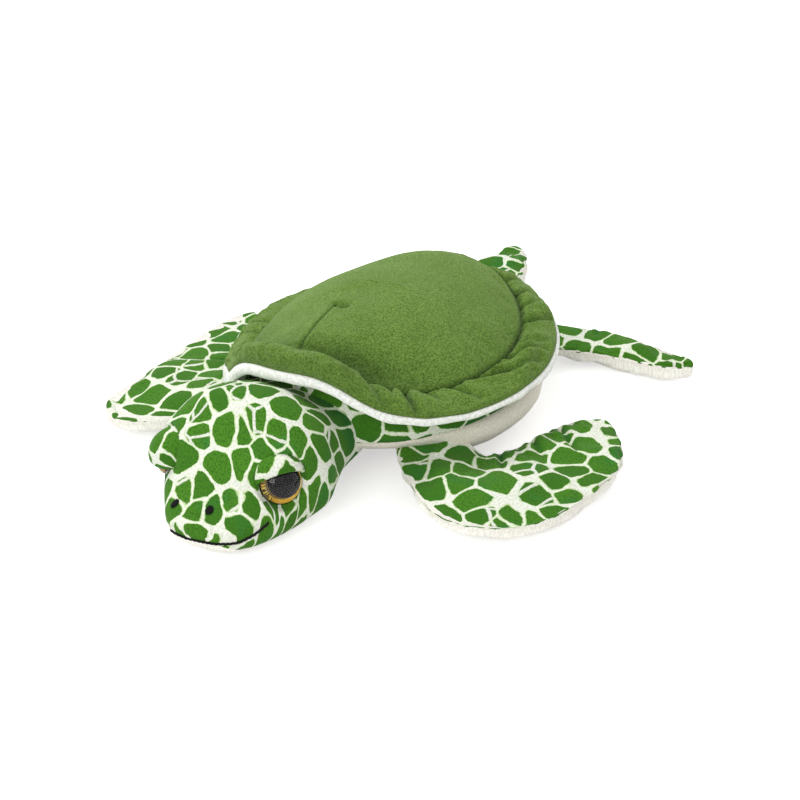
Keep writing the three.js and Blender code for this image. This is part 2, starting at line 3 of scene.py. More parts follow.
import bpy
import numpy as np
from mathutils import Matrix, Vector


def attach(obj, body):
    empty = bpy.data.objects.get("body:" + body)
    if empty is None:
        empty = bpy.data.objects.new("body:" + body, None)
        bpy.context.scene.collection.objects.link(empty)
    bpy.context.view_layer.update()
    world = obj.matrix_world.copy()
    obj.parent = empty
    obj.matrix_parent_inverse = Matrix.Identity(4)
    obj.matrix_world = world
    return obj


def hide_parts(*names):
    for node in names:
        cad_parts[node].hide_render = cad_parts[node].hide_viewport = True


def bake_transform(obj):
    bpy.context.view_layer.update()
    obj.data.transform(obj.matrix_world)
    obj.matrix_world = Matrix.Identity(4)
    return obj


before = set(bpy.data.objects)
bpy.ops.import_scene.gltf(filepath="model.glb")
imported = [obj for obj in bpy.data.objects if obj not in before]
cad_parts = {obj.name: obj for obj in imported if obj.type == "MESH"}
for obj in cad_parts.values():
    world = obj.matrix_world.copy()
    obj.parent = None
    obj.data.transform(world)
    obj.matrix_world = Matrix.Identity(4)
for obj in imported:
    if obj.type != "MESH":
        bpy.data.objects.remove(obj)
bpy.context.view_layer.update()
scene = bpy.context.scene
mm = 0.001
degree = math.pi / 180
up = np.array([0.0, 0.0, 1.0])


# Shader nodes

def setSocket(tree, socket, value):
    # value is a number, a colour or vector, or the output of another node
    if isinstance(value, (int, float, tuple)):
        socket.default_value = value
    else:
        tree.links.new(value, socket)


def setInputs(tree, node, **values):
    # inputs by their label, with _ for each space
    for label, value in values.items():
        setSocket(tree, node.inputs[label.replace("_", " ")], value)


def addMath(tree, operation, first, second=None):
    node = tree.nodes.new("ShaderNodeMath")
    node.operation = operation
    for socket, value in zip(node.inputs, (first, second)):
        if value is not None:
            setSocket(tree, socket, value)
    return node.outputs[0]


def addVector(tree, operation, first, second=None, scale=None):
    node = tree.nodes.new("ShaderNodeVectorMath")
    node.operation = operation
    for label, value in ((0, first), (1, second), ("Scale", scale)):
        if value is not None:
            setSocket(tree, node.inputs[label], value)
    return node.outputs["Vector"]


def addNoise(tree, place, scale, detail=2.0, rough=0.5, wantColor=False):
    node = tree.nodes.new("ShaderNodeTexNoise")
    setInputs(tree, node, Vector=place, Scale=scale, Detail=detail, Roughness=rough)
    return node.outputs["Color" if wantColor else "Fac"]


def addRange(tree, value, low, high, toLow=0.0, toHigh=1.0, smoothed=True):
    node = tree.nodes.new("ShaderNodeMapRange")
    node.interpolation_type = "SMOOTHSTEP" if smoothed else "LINEAR"
    setInputs(tree, node, Value=value, From_Min=low, From_Max=high, To_Min=toLow, To_Max=toHigh)
    return node.outputs["Result"]


def addMix(tree, share, first, second):
    node = tree.nodes.new("ShaderNodeMix")
    node.data_type = "RGBA"
    for k, value in ((0, share), (6, first), (7, second)):  # the sockets of a colour mix
        setSocket(tree, node.inputs[k], value)
    return node.outputs[2]


# Camera and light

view = {
    "azimuth": 32.1, "elevation": 25.7, "distance": 1.0, "aim": (0.0, 0.1, 0.0),
    "lens": 78.75, "shiftX": -0.110, "shiftY": -0.075,
}
studio = {
    "skyLight": 0.78, "backdrop": 1.0, "floorGrey": 0.86, "floorGlow": 0.5, "floorSize": 14.0,
    "keyPlace": (-0.9, 0.15, 1.6), "keyPower": 15.5, "keySize": 0.8,
    "fillPlace": (0.25, -1.5, 0.9), "fillPower": 8.5, "fillSize": 0.9,
    "target": (0.0, 0.0, 0.03),
}


def awayFromObject(azimuth, elevation):
    a, e = azimuth * degree, elevation * degree
    return Vector((math.sin(a) * math.cos(e), -math.cos(a) * math.cos(e), math.sin(e)))


def addCamera():
    data = bpy.data.cameras.new("camera")
    data.lens = view["lens"]
    data.sensor_width = 36.0
    data.shift_x, data.shift_y = view["shiftX"], view["shiftY"]
    data.clip_start = 0.01
    camera = bpy.data.objects.new("camera", data)
    away = awayFromObject(view["azimuth"], view["elevation"])
    camera.location = Vector(view["aim"]) + away * view["distance"]
    camera.rotation_euler = away.to_track_quat("Z", "Y").to_euler()
    scene.collection.objects.link(camera)
    scene.camera = camera


def addLamp(name, place, power, size):
    data = bpy.data.lights.new(name, "AREA")
    data.shape = "DISK"
    data.energy = power
    data.size = size
    lamp = bpy.data.objects.new(name, data)
    lamp.location = place
    lamp.rotation_euler = (Vector(place) - Vector(studio["target"])).to_track_quat("Z", "Y").to_euler()
    scene.collection.objects.link(lamp)


def seenByLens(tree):
    path = tree.nodes.new("ShaderNodeLightPath")
    seen = path.outputs["Is Camera Ray"]
    for ray in ("Is Glossy Ray", "Is Transmission Ray"):
        seen = addMath(tree, "MAXIMUM", seen, path.outputs[ray])
    return seen


def buildWorld():
    world = bpy.data.worlds.new("studio")
    scene.world = world
    world.use_nodes = True
    tree = world.node_tree
    strength = addRange(tree, seenByLens(tree), 0.0, 1.0, studio["skyLight"], studio["backdrop"], smoothed=False)
    setInputs(tree, tree.nodes["Background"], Color=(1, 1, 1, 1), Strength=strength)


def buildFloor():
    half = studio["floorSize"] / 2
    mesh = bpy.data.meshes.new("floor")
    mesh.from_pydata([(-half, -half, 0), (half, -half, 0), (half, half, 0), (-half, half, 0)], [], [(0, 1, 2, 3)])
    floor = bpy.data.objects.new("floor", mesh)
    scene.collection.objects.link(floor)
    material = bpy.data.materials.new("studioFloor")
    material.use_nodes = True
    tree = material.node_tree
    grey = studio["floorGrey"]
    setInputs(tree, tree.nodes["Principled BSDF"], Base_Color=(grey, grey, grey, 1), Roughness=1.0,
              Specular_IOR_Level=0.0, Emission_Color=(1, 1, 1, 1),
              Emission_Strength=addMath(tree, "MULTIPLY", seenByLens(tree), studio["floorGlow"]))
    mesh.materials.append(material)


addCamera()
buildWorld()
buildFloor()
addLamp("keyLamp", studio["keyPlace"], studio["keyPower"], studio["keySize"])
addLamp("fillLamp", studio["fillPlace"], studio["fillPower"], studio["fillSize"])
scene.view_settings.view_transform = "Standard"
print("studio ready")


# Numbers and curves

def softNoise(place, size, seed):
    lattice = np.random.default_rng(seed).uniform(-1, 1, (32, 32, 32))
    spot = np.asarray(place, float) / size
    corner = np.floor(spot).astype(int)
    part = spot - corner
    part = part * part * (3 - 2 * part)
    total = 0.0
    for dx in (0, 1):
        for dy in (0, 1):
            for dz in (0, 1):
                weight = np.ones(spot.shape[:-1])
                for axis, step in enumerate((dx, dy, dz)):
                    weight = weight * (part[..., axis] if step else 1 - part[..., axis])
                i, j, k = ((corner[..., axis] + step) % 32 for axis, step in enumerate((dx, dy, dz)))
                total = total + weight * lattice[i, j, k]
    return total


def lumpsOf(look, grid, seed):
    # broad lumps of filling, with finer ones on them
    return (look["lumps"] * softNoise(grid, look["lumpSize"], seed)
            + look["fineLumps"] * softNoise(grid, look["fineSize"], seed + 1))


def mix(low, high, share):
    return low + (high - low) * share


def signedPower(value, power):
    return np.sign(value) * np.abs(value) ** power


def smooth(value, start, end):
    share = np.clip((value - start) / (end - start), 0, 1)
    return share * share * (3 - 2 * share)


def hump(value, centre, spread, power=2):
    # 1 at the centre, and fades to both sides
    return np.exp(-np.abs((value - centre) / spread) ** power)


def ringTurns(count):
    return np.arange(count) * 2 * math.pi / count


def curveThrough(stops, values, at):
    # monotone cubic through the stops, one column at a time
    stops, values = np.asarray(stops, float), np.asarray(values, float)
    width = np.diff(stops)[:, None]
    slope = np.diff(values, axis=0) / width
    tangent = np.zeros_like(values)
    tangent[0], tangent[-1] = slope[0], slope[-1]
    same = slope[:-1] * slope[1:] > 0
    tangent[1:-1] = np.where(same, 0.5 * (slope[:-1] + slope[1:]), 0.0)
    at = np.asarray(at, float)
    k = np.clip(np.searchsorted(stops, at, side="right") - 1, 0, len(stops) - 2)
    h = width[k]
    t = ((at - stops[k])[..., None]) / h
    return ((2 * t ** 3 - 3 * t ** 2 + 1) * values[k] + (t ** 3 - 2 * t ** 2 + t) * h * tangent[k]
            + (-2 * t ** 3 + 3 * t ** 2) * values[k + 1] + (t ** 3 - t ** 2) * h * tangent[k + 1])


def splinePoint(points, share):
    # centripetal spline through the points, share from 0 to 1
    points = np.asarray(points, float)
    padded = np.vstack([2 * points[0] - points[1], points, 2 * points[-1] - points[-2]])
    spot = np.asarray(share, float) * (len(points) - 1)
    k = np.clip(np.floor(spot).astype(int), 0, len(points) - 2)
    t = (spot - k)[..., None]
    a, b, c, d = (padded[k + step] for step in range(4))
    first, middle, last = (np.linalg.norm(q - p, axis=-1, keepdims=True) ** 0.5
                           for p, q in ((a, b), (b, c), (c, d)))
    leave = ((b - a) / first - (c - a) / (first + middle) + (c - b) / middle) * middle
    arrive = ((c - b) / middle - (d - b) / (middle + last) + (d - c) / last) * middle
    return (b + leave * t + (-3 * b + 3 * c - 2 * leave - arrive) * t ** 2
            + (2 * b - 2 * c + leave + arrive) * t ** 3)


def segmentDistance(place, start, end):
    start, end = np.asarray(start, float), np.asarray(end, float)
    along = end - start
    share = np.clip(((place - start) @ along) / (along @ along), 0, 1)
    return np.linalg.norm(place - (start + share[..., None] * along), axis=-1), share


def gridNormals(grid, wrap):
    # unit normals of a grid of points, wrap is whether its columns run round
    if wrap:
        across = np.roll(grid, -1, axis=1) - np.roll(grid, 1, axis=1)
    else:
        across = np.gradient(grid, axis=1)
    down = np.gradient(grid, axis=0)
    normal = np.cross(across, down)
    length = np.linalg.norm(normal, axis=-1, keepdims=True)
    return normal / np.maximum(length, 1e-9)


# Meshes

def gridFaces(rows, columns, wrap):
    faces = []
    last = columns if wrap else columns - 1
    for row in range(rows - 1):
        for column in range(last):
            after = (column + 1) % columns
            faces.append((row * columns + column, row * columns + after,
                          (row + 1) * columns + after, (row + 1) * columns + column))
    return faces


def capFaces(row, columns, centre, base=0):
    return [(base + row * columns + c, base + row * columns + (c + 1) % columns, centre) for c in range(columns)]


def addPiece(name, grid, material, body, replaced=(), printPlace=None, paintedShade=None, wrapRows=False):
    # a closed piece whose columns run round: its first and last row are joined, or else each gets a cap
    rows, columns = grid.shape[:2]
    points = grid.reshape(-1, 3)
    place = points if printPlace is None else printPlace.reshape(-1, 3)
    # dents holds the painted shade of each point: a darker colour where shade falls
    dents = np.zeros(len(points)) if paintedShade is None else np.broadcast_to(paintedShade, grid.shape[:2]).ravel()
    faces = gridFaces(rows, columns, True)
    if wrapRows:
        faces += [((rows - 1) * columns + c, (rows - 1) * columns + (c + 1) % columns, (c + 1) % columns, c)
                  for c in range(columns)]
    else:
        for row in (0, rows - 1):
            ring = slice(row * columns, (row + 1) * columns)
            points = np.vstack([points, points[ring].mean(axis=0)])
            place = np.vstack([place, place[ring].mean(axis=0)])
            dents = np.append(dents, dents[ring].mean())
            faces += capFaces(row, columns, len(points) - 1)
    return pieceFrom(name, points, faces, material, body, replaced, place, dents)


def pieceFrom(name, points, faces, material, body, replaced=(), place=None, dents=None):
    mesh = bpy.data.meshes.new(name)
    mesh.from_pydata((points * mm).tolist(), [], faces)
    mesh.validate()
    cloth = mesh.attributes.new("clothPlace", "FLOAT_VECTOR", "POINT")
    cloth.data.foreach_set("vector", (np.asarray(points if place is None else place) * mm).ravel())
    # the painted shade goes to the material as a point attribute
    if dents is not None:
        deep = mesh.attributes.new("paintedShade", "FLOAT", "POINT")
        deep.data.foreach_set("value", np.clip(dents, 0, 1))
    mesh.shade_smooth()
    piece = bpy.data.objects.new(name, mesh)
    scene.collection.objects.link(piece)
    mesh.materials.append(material)
    outward(piece)
    if body:
        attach(piece, body)
    if replaced:
        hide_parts(*replaced)
    return piece


def outward(piece):
    import bmesh
    shape = bmesh.new()
    shape.from_mesh(piece.data)
    bmesh.ops.recalc_face_normals(shape, faces=shape.faces)
    if shape.calc_volume(signed=True) < 0:
        bmesh.ops.reverse_faces(shape, faces=shape.faces)
    shape.to_mesh(piece.data)
    shape.free()


cloth = {"frames": 16, "mass": 0.15, "tension": 12.0, "bending": 0.35, "quality": 4}


def spreadOut(coarse, rowPlaces, columnPlaces, rows, columns, wrap):
    if wrap:
        columnPlaces = np.append(columnPlaces, columns)
        coarse = np.concatenate([coarse, coarse[:, :1]], axis=1)
    part = np.empty((rows, coarse.shape[1], 3))
    full = np.empty((rows, columns, 3))
    for axis in range(3):
        for column in range(coarse.shape[1]):
            part[:, column, axis] = np.interp(np.arange(rows), rowPlaces, coarse[:, column, axis])
        for row in range(rows):
            full[row, :, axis] = np.interp(np.arange(columns), columnPlaces, part[row, :, axis])
    for _ in range(2):  # takes the corners off the straight steps between the simulated points
        full[1:-1] = (full[:-2] + 2 * full[1:-1] + full[2:]) / 4
        if wrap:
            full = (np.roll(full, 1, 1) + 2 * full + np.roll(full, -1, 1)) / 4
        else:
            full[:, 1:-1] = (full[:, :-2] + 2 * full[:, 1:-1] + full[:, 2:]) / 4
    return full


def puffUp(grid, held, wrap, every, pressure, slack, cap):
    # cloth simulation on every few points of the grid, held is where the cloth is sewn down
    rows, columns = grid.shape[:2]
    rowPlaces = np.unique(np.append(np.arange(0, rows, every[0]), rows - 1))
    columnPlaces = np.arange(0, columns, every[1])
    if not wrap:
        columnPlaces = np.unique(np.append(columnPlaces, columns - 1))
    start = grid[np.ix_(rowPlaces, columnPlaces)]
    pins = np.broadcast_to(held, (rows, columns))[np.ix_(rowPlaces, columnPlaces)].ravel()
    mesh = bpy.data.meshes.new("toPuff")
    mesh.from_pydata((start.reshape(-1, 3) * mm).tolist(), [], gridFaces(*start.shape[:2], wrap))
    piece = bpy.data.objects.new("toPuff", mesh)
    scene.collection.objects.link(piece)
    middle = start.reshape(-1, 3).mean(axis=0) * mm
    facing = sum(face.normal.dot(face.center - Vector(middle)) * face.area for face in mesh.polygons)
    sewn = piece.vertex_groups.new(name="sewn")
    for k, weight in enumerate(pins):
        if weight > 0:
            sewn.add([k], float(weight), "REPLACE")
    modifier = piece.modifiers.new("cloth", "CLOTH")
    settings = modifier.settings
    settings.quality = cloth["quality"]
    settings.mass = cloth["mass"]
    settings.tension_stiffness = settings.compression_stiffness = cloth["tension"]
    settings.bending_stiffness = cloth["bending"]
    settings.use_pressure = True
    settings.uniform_pressure_force = pressure if facing > 0 else -pressure
    settings.vertex_group_mass = "sewn"
    settings.shrink_min = -slack
    settings.effector_weights.gravity = 0
    modifier.collision_settings.use_collision = False
    modifier.point_cache.frame_start, modifier.point_cache.frame_end = 1, cloth["frames"]
    for number in range(1, cloth["frames"] + 1):
        scene.frame_set(number)
    done = piece.evaluated_get(bpy.context.evaluated_depsgraph_get()).to_mesh()
    ends = np.empty(len(done.vertices) * 3)
    done.vertices.foreach_get("co", ends)
    moved = ends.reshape(start.shape) / mm - start
    scene.frame_set(1)
    bpy.data.objects.remove(piece)
    size = np.linalg.norm(moved, axis=-1, keepdims=True)
    moved = moved * np.minimum(1, cap / np.maximum(size, 1e-6))
    return spreadOut(moved, rowPlaces, columnPlaces, rows, columns, wrap)


def tube(path, radii, sides=8):
    # rings around a path of points
    path = np.asarray(path, float)
    along = np.gradient(path, axis=0)
    along /= np.linalg.norm(along, axis=1, keepdims=True)
    side = np.cross(along, up)
    side /= np.maximum(np.linalg.norm(side, axis=1, keepdims=True), 1e-9)
    over = np.cross(side, along)
    turn = ringTurns(sides)
    rings = (path[:, None] + np.asarray(radii)[:, None, None]
             * (side[:, None] * np.cos(turn)[None, :, None] + over[:, None] * np.sin(turn)[None, :, None]))
    return rings


# Colours and node groups

def fromSrgb(red, green, blue):
    parts = [part / 255 for part in (red, green, blue)]
    return tuple(p / 12.92 if p <= 0.04045 else ((p + 0.055) / 1.055) ** 2.4 for p in parts) + (1.0,)


def newGroup(name, inputs, outputs):
    # inputs have a label, a kind and a value, and every output is a number
    group = bpy.data.node_groups.new(name, "ShaderNodeTree")
    for label, kind, value in inputs:
        socket = group.interface.new_socket(name=label, in_out="INPUT", socket_type=f"NodeSocket{kind}")
        if value is not None:
            socket.default_value = value
    for label in outputs:
        group.interface.new_socket(name=label, in_out="OUTPUT", socket_type="NodeSocketFloat")
    return group, group.nodes.new("NodeGroupInput"), group.nodes.new("NodeGroupOutput")


scaleLook = {
    "warps": ((0.7, 0.42), (2.6, 0.12), (12.0, 0.045)),  # scale and amount: sizes, outlines, ragged pile
    "randomness": 0.84, "cornerFrom": 0.52, "cornerWidening": 0.9, "softness": 0.045, "fringeWidth": 0.05,
    "splitScale": 0.8, "splitWidth": (0.03, 0.06), "splitAbove": 0.78,
}


def buildScalePrint():
    group, start, end = newGroup("scalePrint", [
        ("Place", "Vector", None), ("Scale Size", "Float", 0.015), ("Line Width", "Float", 0.17),
        ("Slits", "Float", 0.5),
    ], ("Scales", "Tone", "Fringe"))
    size = addMath(group, "DIVIDE", 1.0, start.outputs["Scale Size"])
    spot = addVector(group, "SCALE", start.outputs["Place"], scale=size)
    for scale, amount in scaleLook["warps"]:
        shift = addVector(group, "SUBTRACT", addNoise(group, spot, scale, wantColor=True), (0.5, 0.5, 0.5))
        spot = addVector(group, "ADD", spot, addVector(group, "SCALE", shift, scale=amount))
    reach = []
    for feature in ("F1", "F2"):
        node = group.nodes.new("ShaderNodeTexVoronoi")
        node.voronoi_dimensions = "2D"
        node.feature = feature
        setInputs(group, node, Vector=spot, Scale=1.0, Randomness=scaleLook["randomness"])
        reach.append(node)
    apart = addMath(group, "SUBTRACT", reach[1].outputs["Distance"], reach[0].outputs["Distance"])
    corner = addMath(group, "SUBTRACT", reach[0].outputs["Distance"], scaleLook["cornerFrom"])
    corner = addMath(group, "MAXIMUM", corner, 0.0)
    apart = addMath(group, "SUBTRACT", apart, addMath(group, "MULTIPLY", corner, scaleLook["cornerWidening"]))
    uneven = addRange(group, addNoise(group, spot, 1.3), 0.3, 0.7, 0.6, 1.4)
    width = addMath(group, "MULTIPLY", start.outputs["Line Width"], uneven)
    soft = addMath(group, "ADD", width, scaleLook["softness"])
    scales = addRange(group, apart, width, soft)
    tone = group.nodes.new("ShaderNodeSeparateColor")
    setInputs(group, tone, Color=reach[0].outputs["Color"])
    slit = group.nodes.new("ShaderNodeTexVoronoi")  # some scales are split into small ones
    slit.voronoi_dimensions = "2D"
    slit.feature = "DISTANCE_TO_EDGE"
    setInputs(group, slit, Vector=addVector(group, "ADD", spot, (3.3, 1.7, 0.0)), Scale=scaleLook["splitScale"])
    near = addRange(group, slit.outputs["Distance"], *scaleLook["splitWidth"], 1.0, 0.0)
    some = addRange(group, tone.outputs[1], scaleLook["splitAbove"], scaleLook["splitAbove"] + 0.01)
    cut = addMath(group, "MULTIPLY", addMath(group, "MULTIPLY", near, some), start.outputs["Slits"])
    whole = addMath(group, "MULTIPLY", scales, addMath(group, "SUBTRACT", 1.0, cut))
    wide = addMath(group, "SUBTRACT", width, scaleLook["fringeWidth"])
    fringe = addMath(group, "SUBTRACT", addRange(group, apart, wide, width), scales)
    setInputs(group, end, Scales=whole, Tone=tone.outputs[0], Fringe=fringe)
    return group


def buildShortPile():
    group, start, end = newGroup("shortPile", [
        ("Place", "Vector", None), ("Tuft Size", "Float", 0.0012), ("Comb", "Vector", (1.0, 0.6, 1.0)),
    ], ("Height", "Mottle", "Nap"))
    size = addMath(group, "DIVIDE", 1.0, start.outputs["Tuft Size"])
    combed = addVector(group, "MULTIPLY", start.outputs["Place"], start.outputs["Comb"])
    spot = addVector(group, "SCALE", combed, scale=size)
    tufts = addNoise(group, spot, 1.0, 3.0, 0.65)
    clumps = addNoise(group, spot, 0.36, 2.0, 0.5)
    height = addMath(group, "ADD", addMath(group, "MULTIPLY", tufts, 0.9), addMath(group, "MULTIPLY", clumps, 0.25))
    mottle = addMath(group, "ADD", addMath(group, "MULTIPLY", tufts, 0.93), addMath(group, "MULTIPLY", clumps, 0.07))
    nap = addNoise(group, start.outputs["Place"], 36.0, 2.0, 0.55)
    setInputs(group, end, Height=height, Mottle=mottle, Nap=nap)
    return group


scalePrint = buildScalePrint()
shortPile = buildShortPile()


def addAttribute(tree, name, output):
    node = tree.nodes.new("ShaderNodeAttribute")
    node.attribute_name = name
    return node.outputs[output]


def startMaterial(name):
    material = bpy.data.materials.new(name)
    material.use_nodes = True
    tree = material.node_tree
    return material, tree, tree.nodes["Principled BSDF"], addAttribute(tree, "clothPlace", "Vector")


def useGroup(tree, group, **values):
    node = tree.nodes.new("ShaderNodeGroup")
    node.node_tree = group
    setInputs(tree, node, **values)
    return node


def addBump(tree, surface, height, distance, strength):
    bump = tree.nodes.new("ShaderNodeBump")
    setInputs(tree, bump, Distance=distance, Strength=strength, Height=height)
    setInputs(tree, surface, Normal=bump.outputs["Normal"])


def setCloth(tree, surface, look, color):
    setInputs(tree, surface, Base_Color=color, Roughness=0.92, Specular_IOR_Level=0.12,
              Sheen_Weight=look["sheen"], Sheen_Roughness=0.42, Sheen_Tint=look["tint"])


def plushMaterial(name, look):
    # short pile in one colour: shaded between the colours of its roots and its tips, and darkened with painted shade
    # where the piece's shade attribute is high
    material, tree, surface, place = startMaterial(name)
    pile = useGroup(tree, shortPile, Place=place, Tuft_Size=look["tuftSize"])
    depth = addRange(tree, pile.outputs["Mottle"], 0.36, 0.64)
    napPatches = addRange(tree, pile.outputs["Nap"], 0.3, 0.7)
    tips = addMix(tree, napPatches, look["tips"], look["nap"])
    flat = addMix(tree, depth, look["roots"], tips)
    # painted shade: a darker pair of root and tip colours where the shade attribute is high
    shadeShare = addRange(tree, addAttribute(tree, "paintedShade", "Fac"), 0.0, 1.0, smoothed=False)
    sunk = addMix(tree, depth, look["shadedRoots"], look["shadedTips"])
    setCloth(tree, surface, look, addMix(tree, shadeShare, flat, sunk))
    addBump(tree, surface, pile.outputs["Height"], 0.0011, look["bump"])
    return material


def printedMaterial(name, look):
    material, tree, surface, place = startMaterial(name)
    scales = useGroup(tree, scalePrint, Place=place, Scale_Size=look["scaleSize"],
                      Line_Width=look["lineWidth"], Slits=look["slits"])
    pile = useGroup(tree, shortPile, Place=place, Tuft_Size=look["tuftSize"])
    depth = addRange(tree, pile.outputs["Mottle"], 0.34, 0.66)
    tone = addRange(tree, scales.outputs["Tone"], 0.1, 0.9)
    napPatches = addRange(tree, pile.outputs["Nap"], 0.52, 0.66)
    shadeShare = addAttribute(tree, "paintedShade", "Fac")
    green = addMix(tree, tone, look["green"], look["deepGreen"])
    # teal patches where the pile lies another way: the patches are the pile's own, their teal is painted sheen
    green = addMix(tree, addMath(tree, "MULTIPLY", napPatches, 0.6), green, look["napSheenGreen"])
    # painted shade: a dark teal green where the shade attribute is high
    green = addMix(tree, addMath(tree, "MULTIPLY", shadeShare, 0.9), green, look["shadedGreen"])
    shaded = addMix(tree, addRange(tree, depth, 0.0, 0.8), look["rootGreen"], green)
    ground = addMix(tree, depth, look["whiteRoots"], look["white"])
    edge = addMix(tree, addMath(tree, "MULTIPLY", scales.outputs["Fringe"], 0.75), ground, look["fringe"])
    setCloth(tree, surface, look, addMix(tree, scales.outputs["Scales"], edge, shaded))
    addBump(tree, surface, pile.outputs["Height"], 0.0009, look["bump"])
    return material


# in each plush look below, the two colours on its second line are painted shade, laid where shade falls
shellLook = {
    "roots": fromSrgb(74, 102, 36), "tips": fromSrgb(108, 140, 60), "nap": fromSrgb(116, 148, 68),
    "shadedRoots": fromSrgb(38, 58, 18), "shadedTips": fromSrgb(66, 94, 36),
    "tuftSize": 0.00075, "sheen": 0.26, "tint": (0.75, 0.95, 0.5, 1), "bump": 0.75,
}
creamLook = {
    "roots": fromSrgb(228, 221, 206), "tips": fromSrgb(247, 243, 233), "nap": fromSrgb(243, 238, 226),
    "shadedRoots": fromSrgb(190, 183, 164), "shadedTips": fromSrgb(220, 213, 196),
    "tuftSize": 0.0009, "sheen": 0.15, "tint": (1, 1, 1, 1), "bump": 0.3,
}
liningLook = {
    "roots": fromSrgb(220, 223, 214), "tips": fromSrgb(250, 251, 247), "nap": fromSrgb(244, 246, 240),
    "shadedRoots": fromSrgb(170, 178, 158), "shadedTips": fromSrgb(210, 216, 200),
    "tuftSize": 0.0012, "sheen": 0.15, "tint": (1, 1, 1, 1), "bump": 0.4,
}
# painted light: a lighter copy of the belly cream, for the flipper undersides and the chin
litCreamLook = dict(creamLook, roots=fromSrgb(232, 229, 216), tips=fromSrgb(252, 251, 245), nap=fromSrgb(250, 248, 240),
                shadedRoots=fromSrgb(206, 202, 186), shadedTips=fromSrgb(232, 228, 214))
printLook = {
    "scaleSize": 0.0155, "lineWidth": 0.075, "slits": 0.9, "tuftSize": 0.0008, "bump": 0.3,
    # the last green on the next line is the teal of painted sheen on patches of pile
    "green": fromSrgb(74, 128, 32), "deepGreen": fromSrgb(60, 112, 27), "napSheenGreen": fromSrgb(48, 120, 54),
    # the last green on the next line is painted shade, laid into hollows and creases
    "rootGreen": fromSrgb(50, 100, 26), "shadedGreen": fromSrgb(22, 88, 52),
    "white": fromSrgb(236, 239, 227), "whiteRoots": fromSrgb(204, 208, 192),
    "fringe": fromSrgb(170, 204, 112), "sheen": 0.11, "tint": (0.8, 0.95, 0.6, 1),
}
shellPlush = plushMaterial("shellPlush", shellLook)
creamPlush = plushMaterial("creamPlush", creamLook)
litCream = plushMaterial("litCream", litCreamLook)
liningPlush = plushMaterial("liningPlush", liningLook)
printedPlush = printedMaterial("printedPlush", printLook)
lidPlush = printedMaterial("lidPlush", dict(printLook, scaleSize=0.0105, lineWidth=0.3))
headPlush = printedMaterial("headPlush", dict(printLook, scaleSize=0.0134, lineWidth=0.09))


# Eyes, washers and thread

def glossMaterial(name, color, roughness, coat, specular=0.5):
    material, tree, surface, place = startMaterial(name)
    flaws = addNoise(tree, place, 420.0, 2.0)
    darker = tuple(0.7 * part for part in color[:3]) + (1,)
    setInputs(tree, surface, Base_Color=addMix(tree, addRange(tree, flaws, 0.35, 0.65), color, darker),
              Roughness=addRange(tree, flaws, 0.3, 0.7, roughness, roughness * 1.6), Coat_Weight=coat,
              Specular_IOR_Level=specular)
    return material


def irisMaterial(look):
    # place runs round the iris in x and out from the pupil in y
    material, tree, surface, place = startMaterial("irisPaint")
    fine = addVector(tree, "MULTIPLY", place, (1.0, 0.12, 1.0))
    streaks = addRange(tree, addNoise(tree, fine, look["streakScale"], 3.0, 0.7), 0.4, 0.56)
    broad = addRange(tree, addNoise(tree, place, 90.0, 1.0), 0.4, 0.6)
    ringed = tree.nodes.new("ShaderNodeSeparateXYZ")
    setInputs(tree, ringed, Vector=place)
    inner = addRange(tree, ringed.outputs["Y"], look["inner"] * mm, look["middle"] * mm, 1.0, 0.0)
    outer = addRange(tree, ringed.outputs["Y"], look["outer"] * mm, look["edge"] * mm)
    inFront = addRange(tree, addMath(tree, "ABSOLUTE", ringed.outputs["X"]), 4 * mm, 13 * mm, 1.0, 0.12)
    dark = addMath(tree, "MULTIPLY", streaks, inFront)
    amber = addMix(tree, broad, look["amber"], look["deepAmber"])
    amber = addMix(tree, dark, amber, look["streak"])
    amber = addMix(tree, addMath(tree, "MULTIPLY", inner, 0.8), amber, look["streak"])
    amber = addMix(tree, outer, amber, look["rimBrown"])
    setInputs(tree, surface, Base_Color=amber, Roughness=addRange(tree, streaks, 0.0, 1.0, 0.25, 0.45))
    return material


glass = {"refraction": 1.32, "shade": 0.12}  # shade is what the lens takes from a lamp's light


def glassMaterial():
    material, tree, surface, place = startMaterial("clearLens")
    path = tree.nodes.new("ShaderNodeLightPath")  # lamps reach the iris through the lens
    haze = addNoise(tree, place, 260.0, 2.0)
    setInputs(tree, surface, Base_Color=(1, 1, 1, 1), Transmission_Weight=1.0, IOR=glass["refraction"],
              Alpha=addRange(tree, path.outputs["Is Shadow Ray"], 0.0, 1.0, 1.0, glass["shade"], smoothed=False),
              Roughness=addRange(tree, haze, 0.3, 0.7, 0.01, 0.035))
    return material


def threadMaterial(name, dark, light):
    material, tree, surface, place = startMaterial(name)
    twist = tree.nodes.new("ShaderNodeTexWave")
    setInputs(tree, twist, Vector=place, Scale=900.0, Distortion=2.0)
    setInputs(tree, surface, Base_Color=addMix(tree, twist.outputs["Fac"], dark, light), Roughness=0.8,
              Specular_IOR_Level=0.15)
    addBump(tree, surface, twist.outputs["Fac"], 0.0002, 0.6)
    return material


irisLook = {
    "streakScale": 1500.0, "inner": 6.6, "middle": 7.6, "outer": 9.3, "edge": 9.8,
    "amber": fromSrgb(242, 208, 92), "deepAmber": fromSrgb(228, 176, 54), "streak": fromSrgb(46, 42, 24),
    "rimBrown": fromSrgb(92, 56, 20),
}
irisPaint = irisMaterial(irisLook)
clearLens = glassMaterial()
pupilBlack = glossMaterial("pupilBlack", fromSrgb(18, 16, 17), 0.5, 0.0, specular=0.1)
eyeBlack = glossMaterial("eyeBlack", fromSrgb(22, 21, 20), 0.25, 0.2)
washerWhite = glossMaterial("washerWhite", fromSrgb(214, 214, 208), 0.5, 0.0)
blackThread = threadMaterial("blackThread", fromSrgb(9, 9, 9), fromSrgb(28, 27, 28))
print("materials ready")


# Shell and body measures, in millimetres

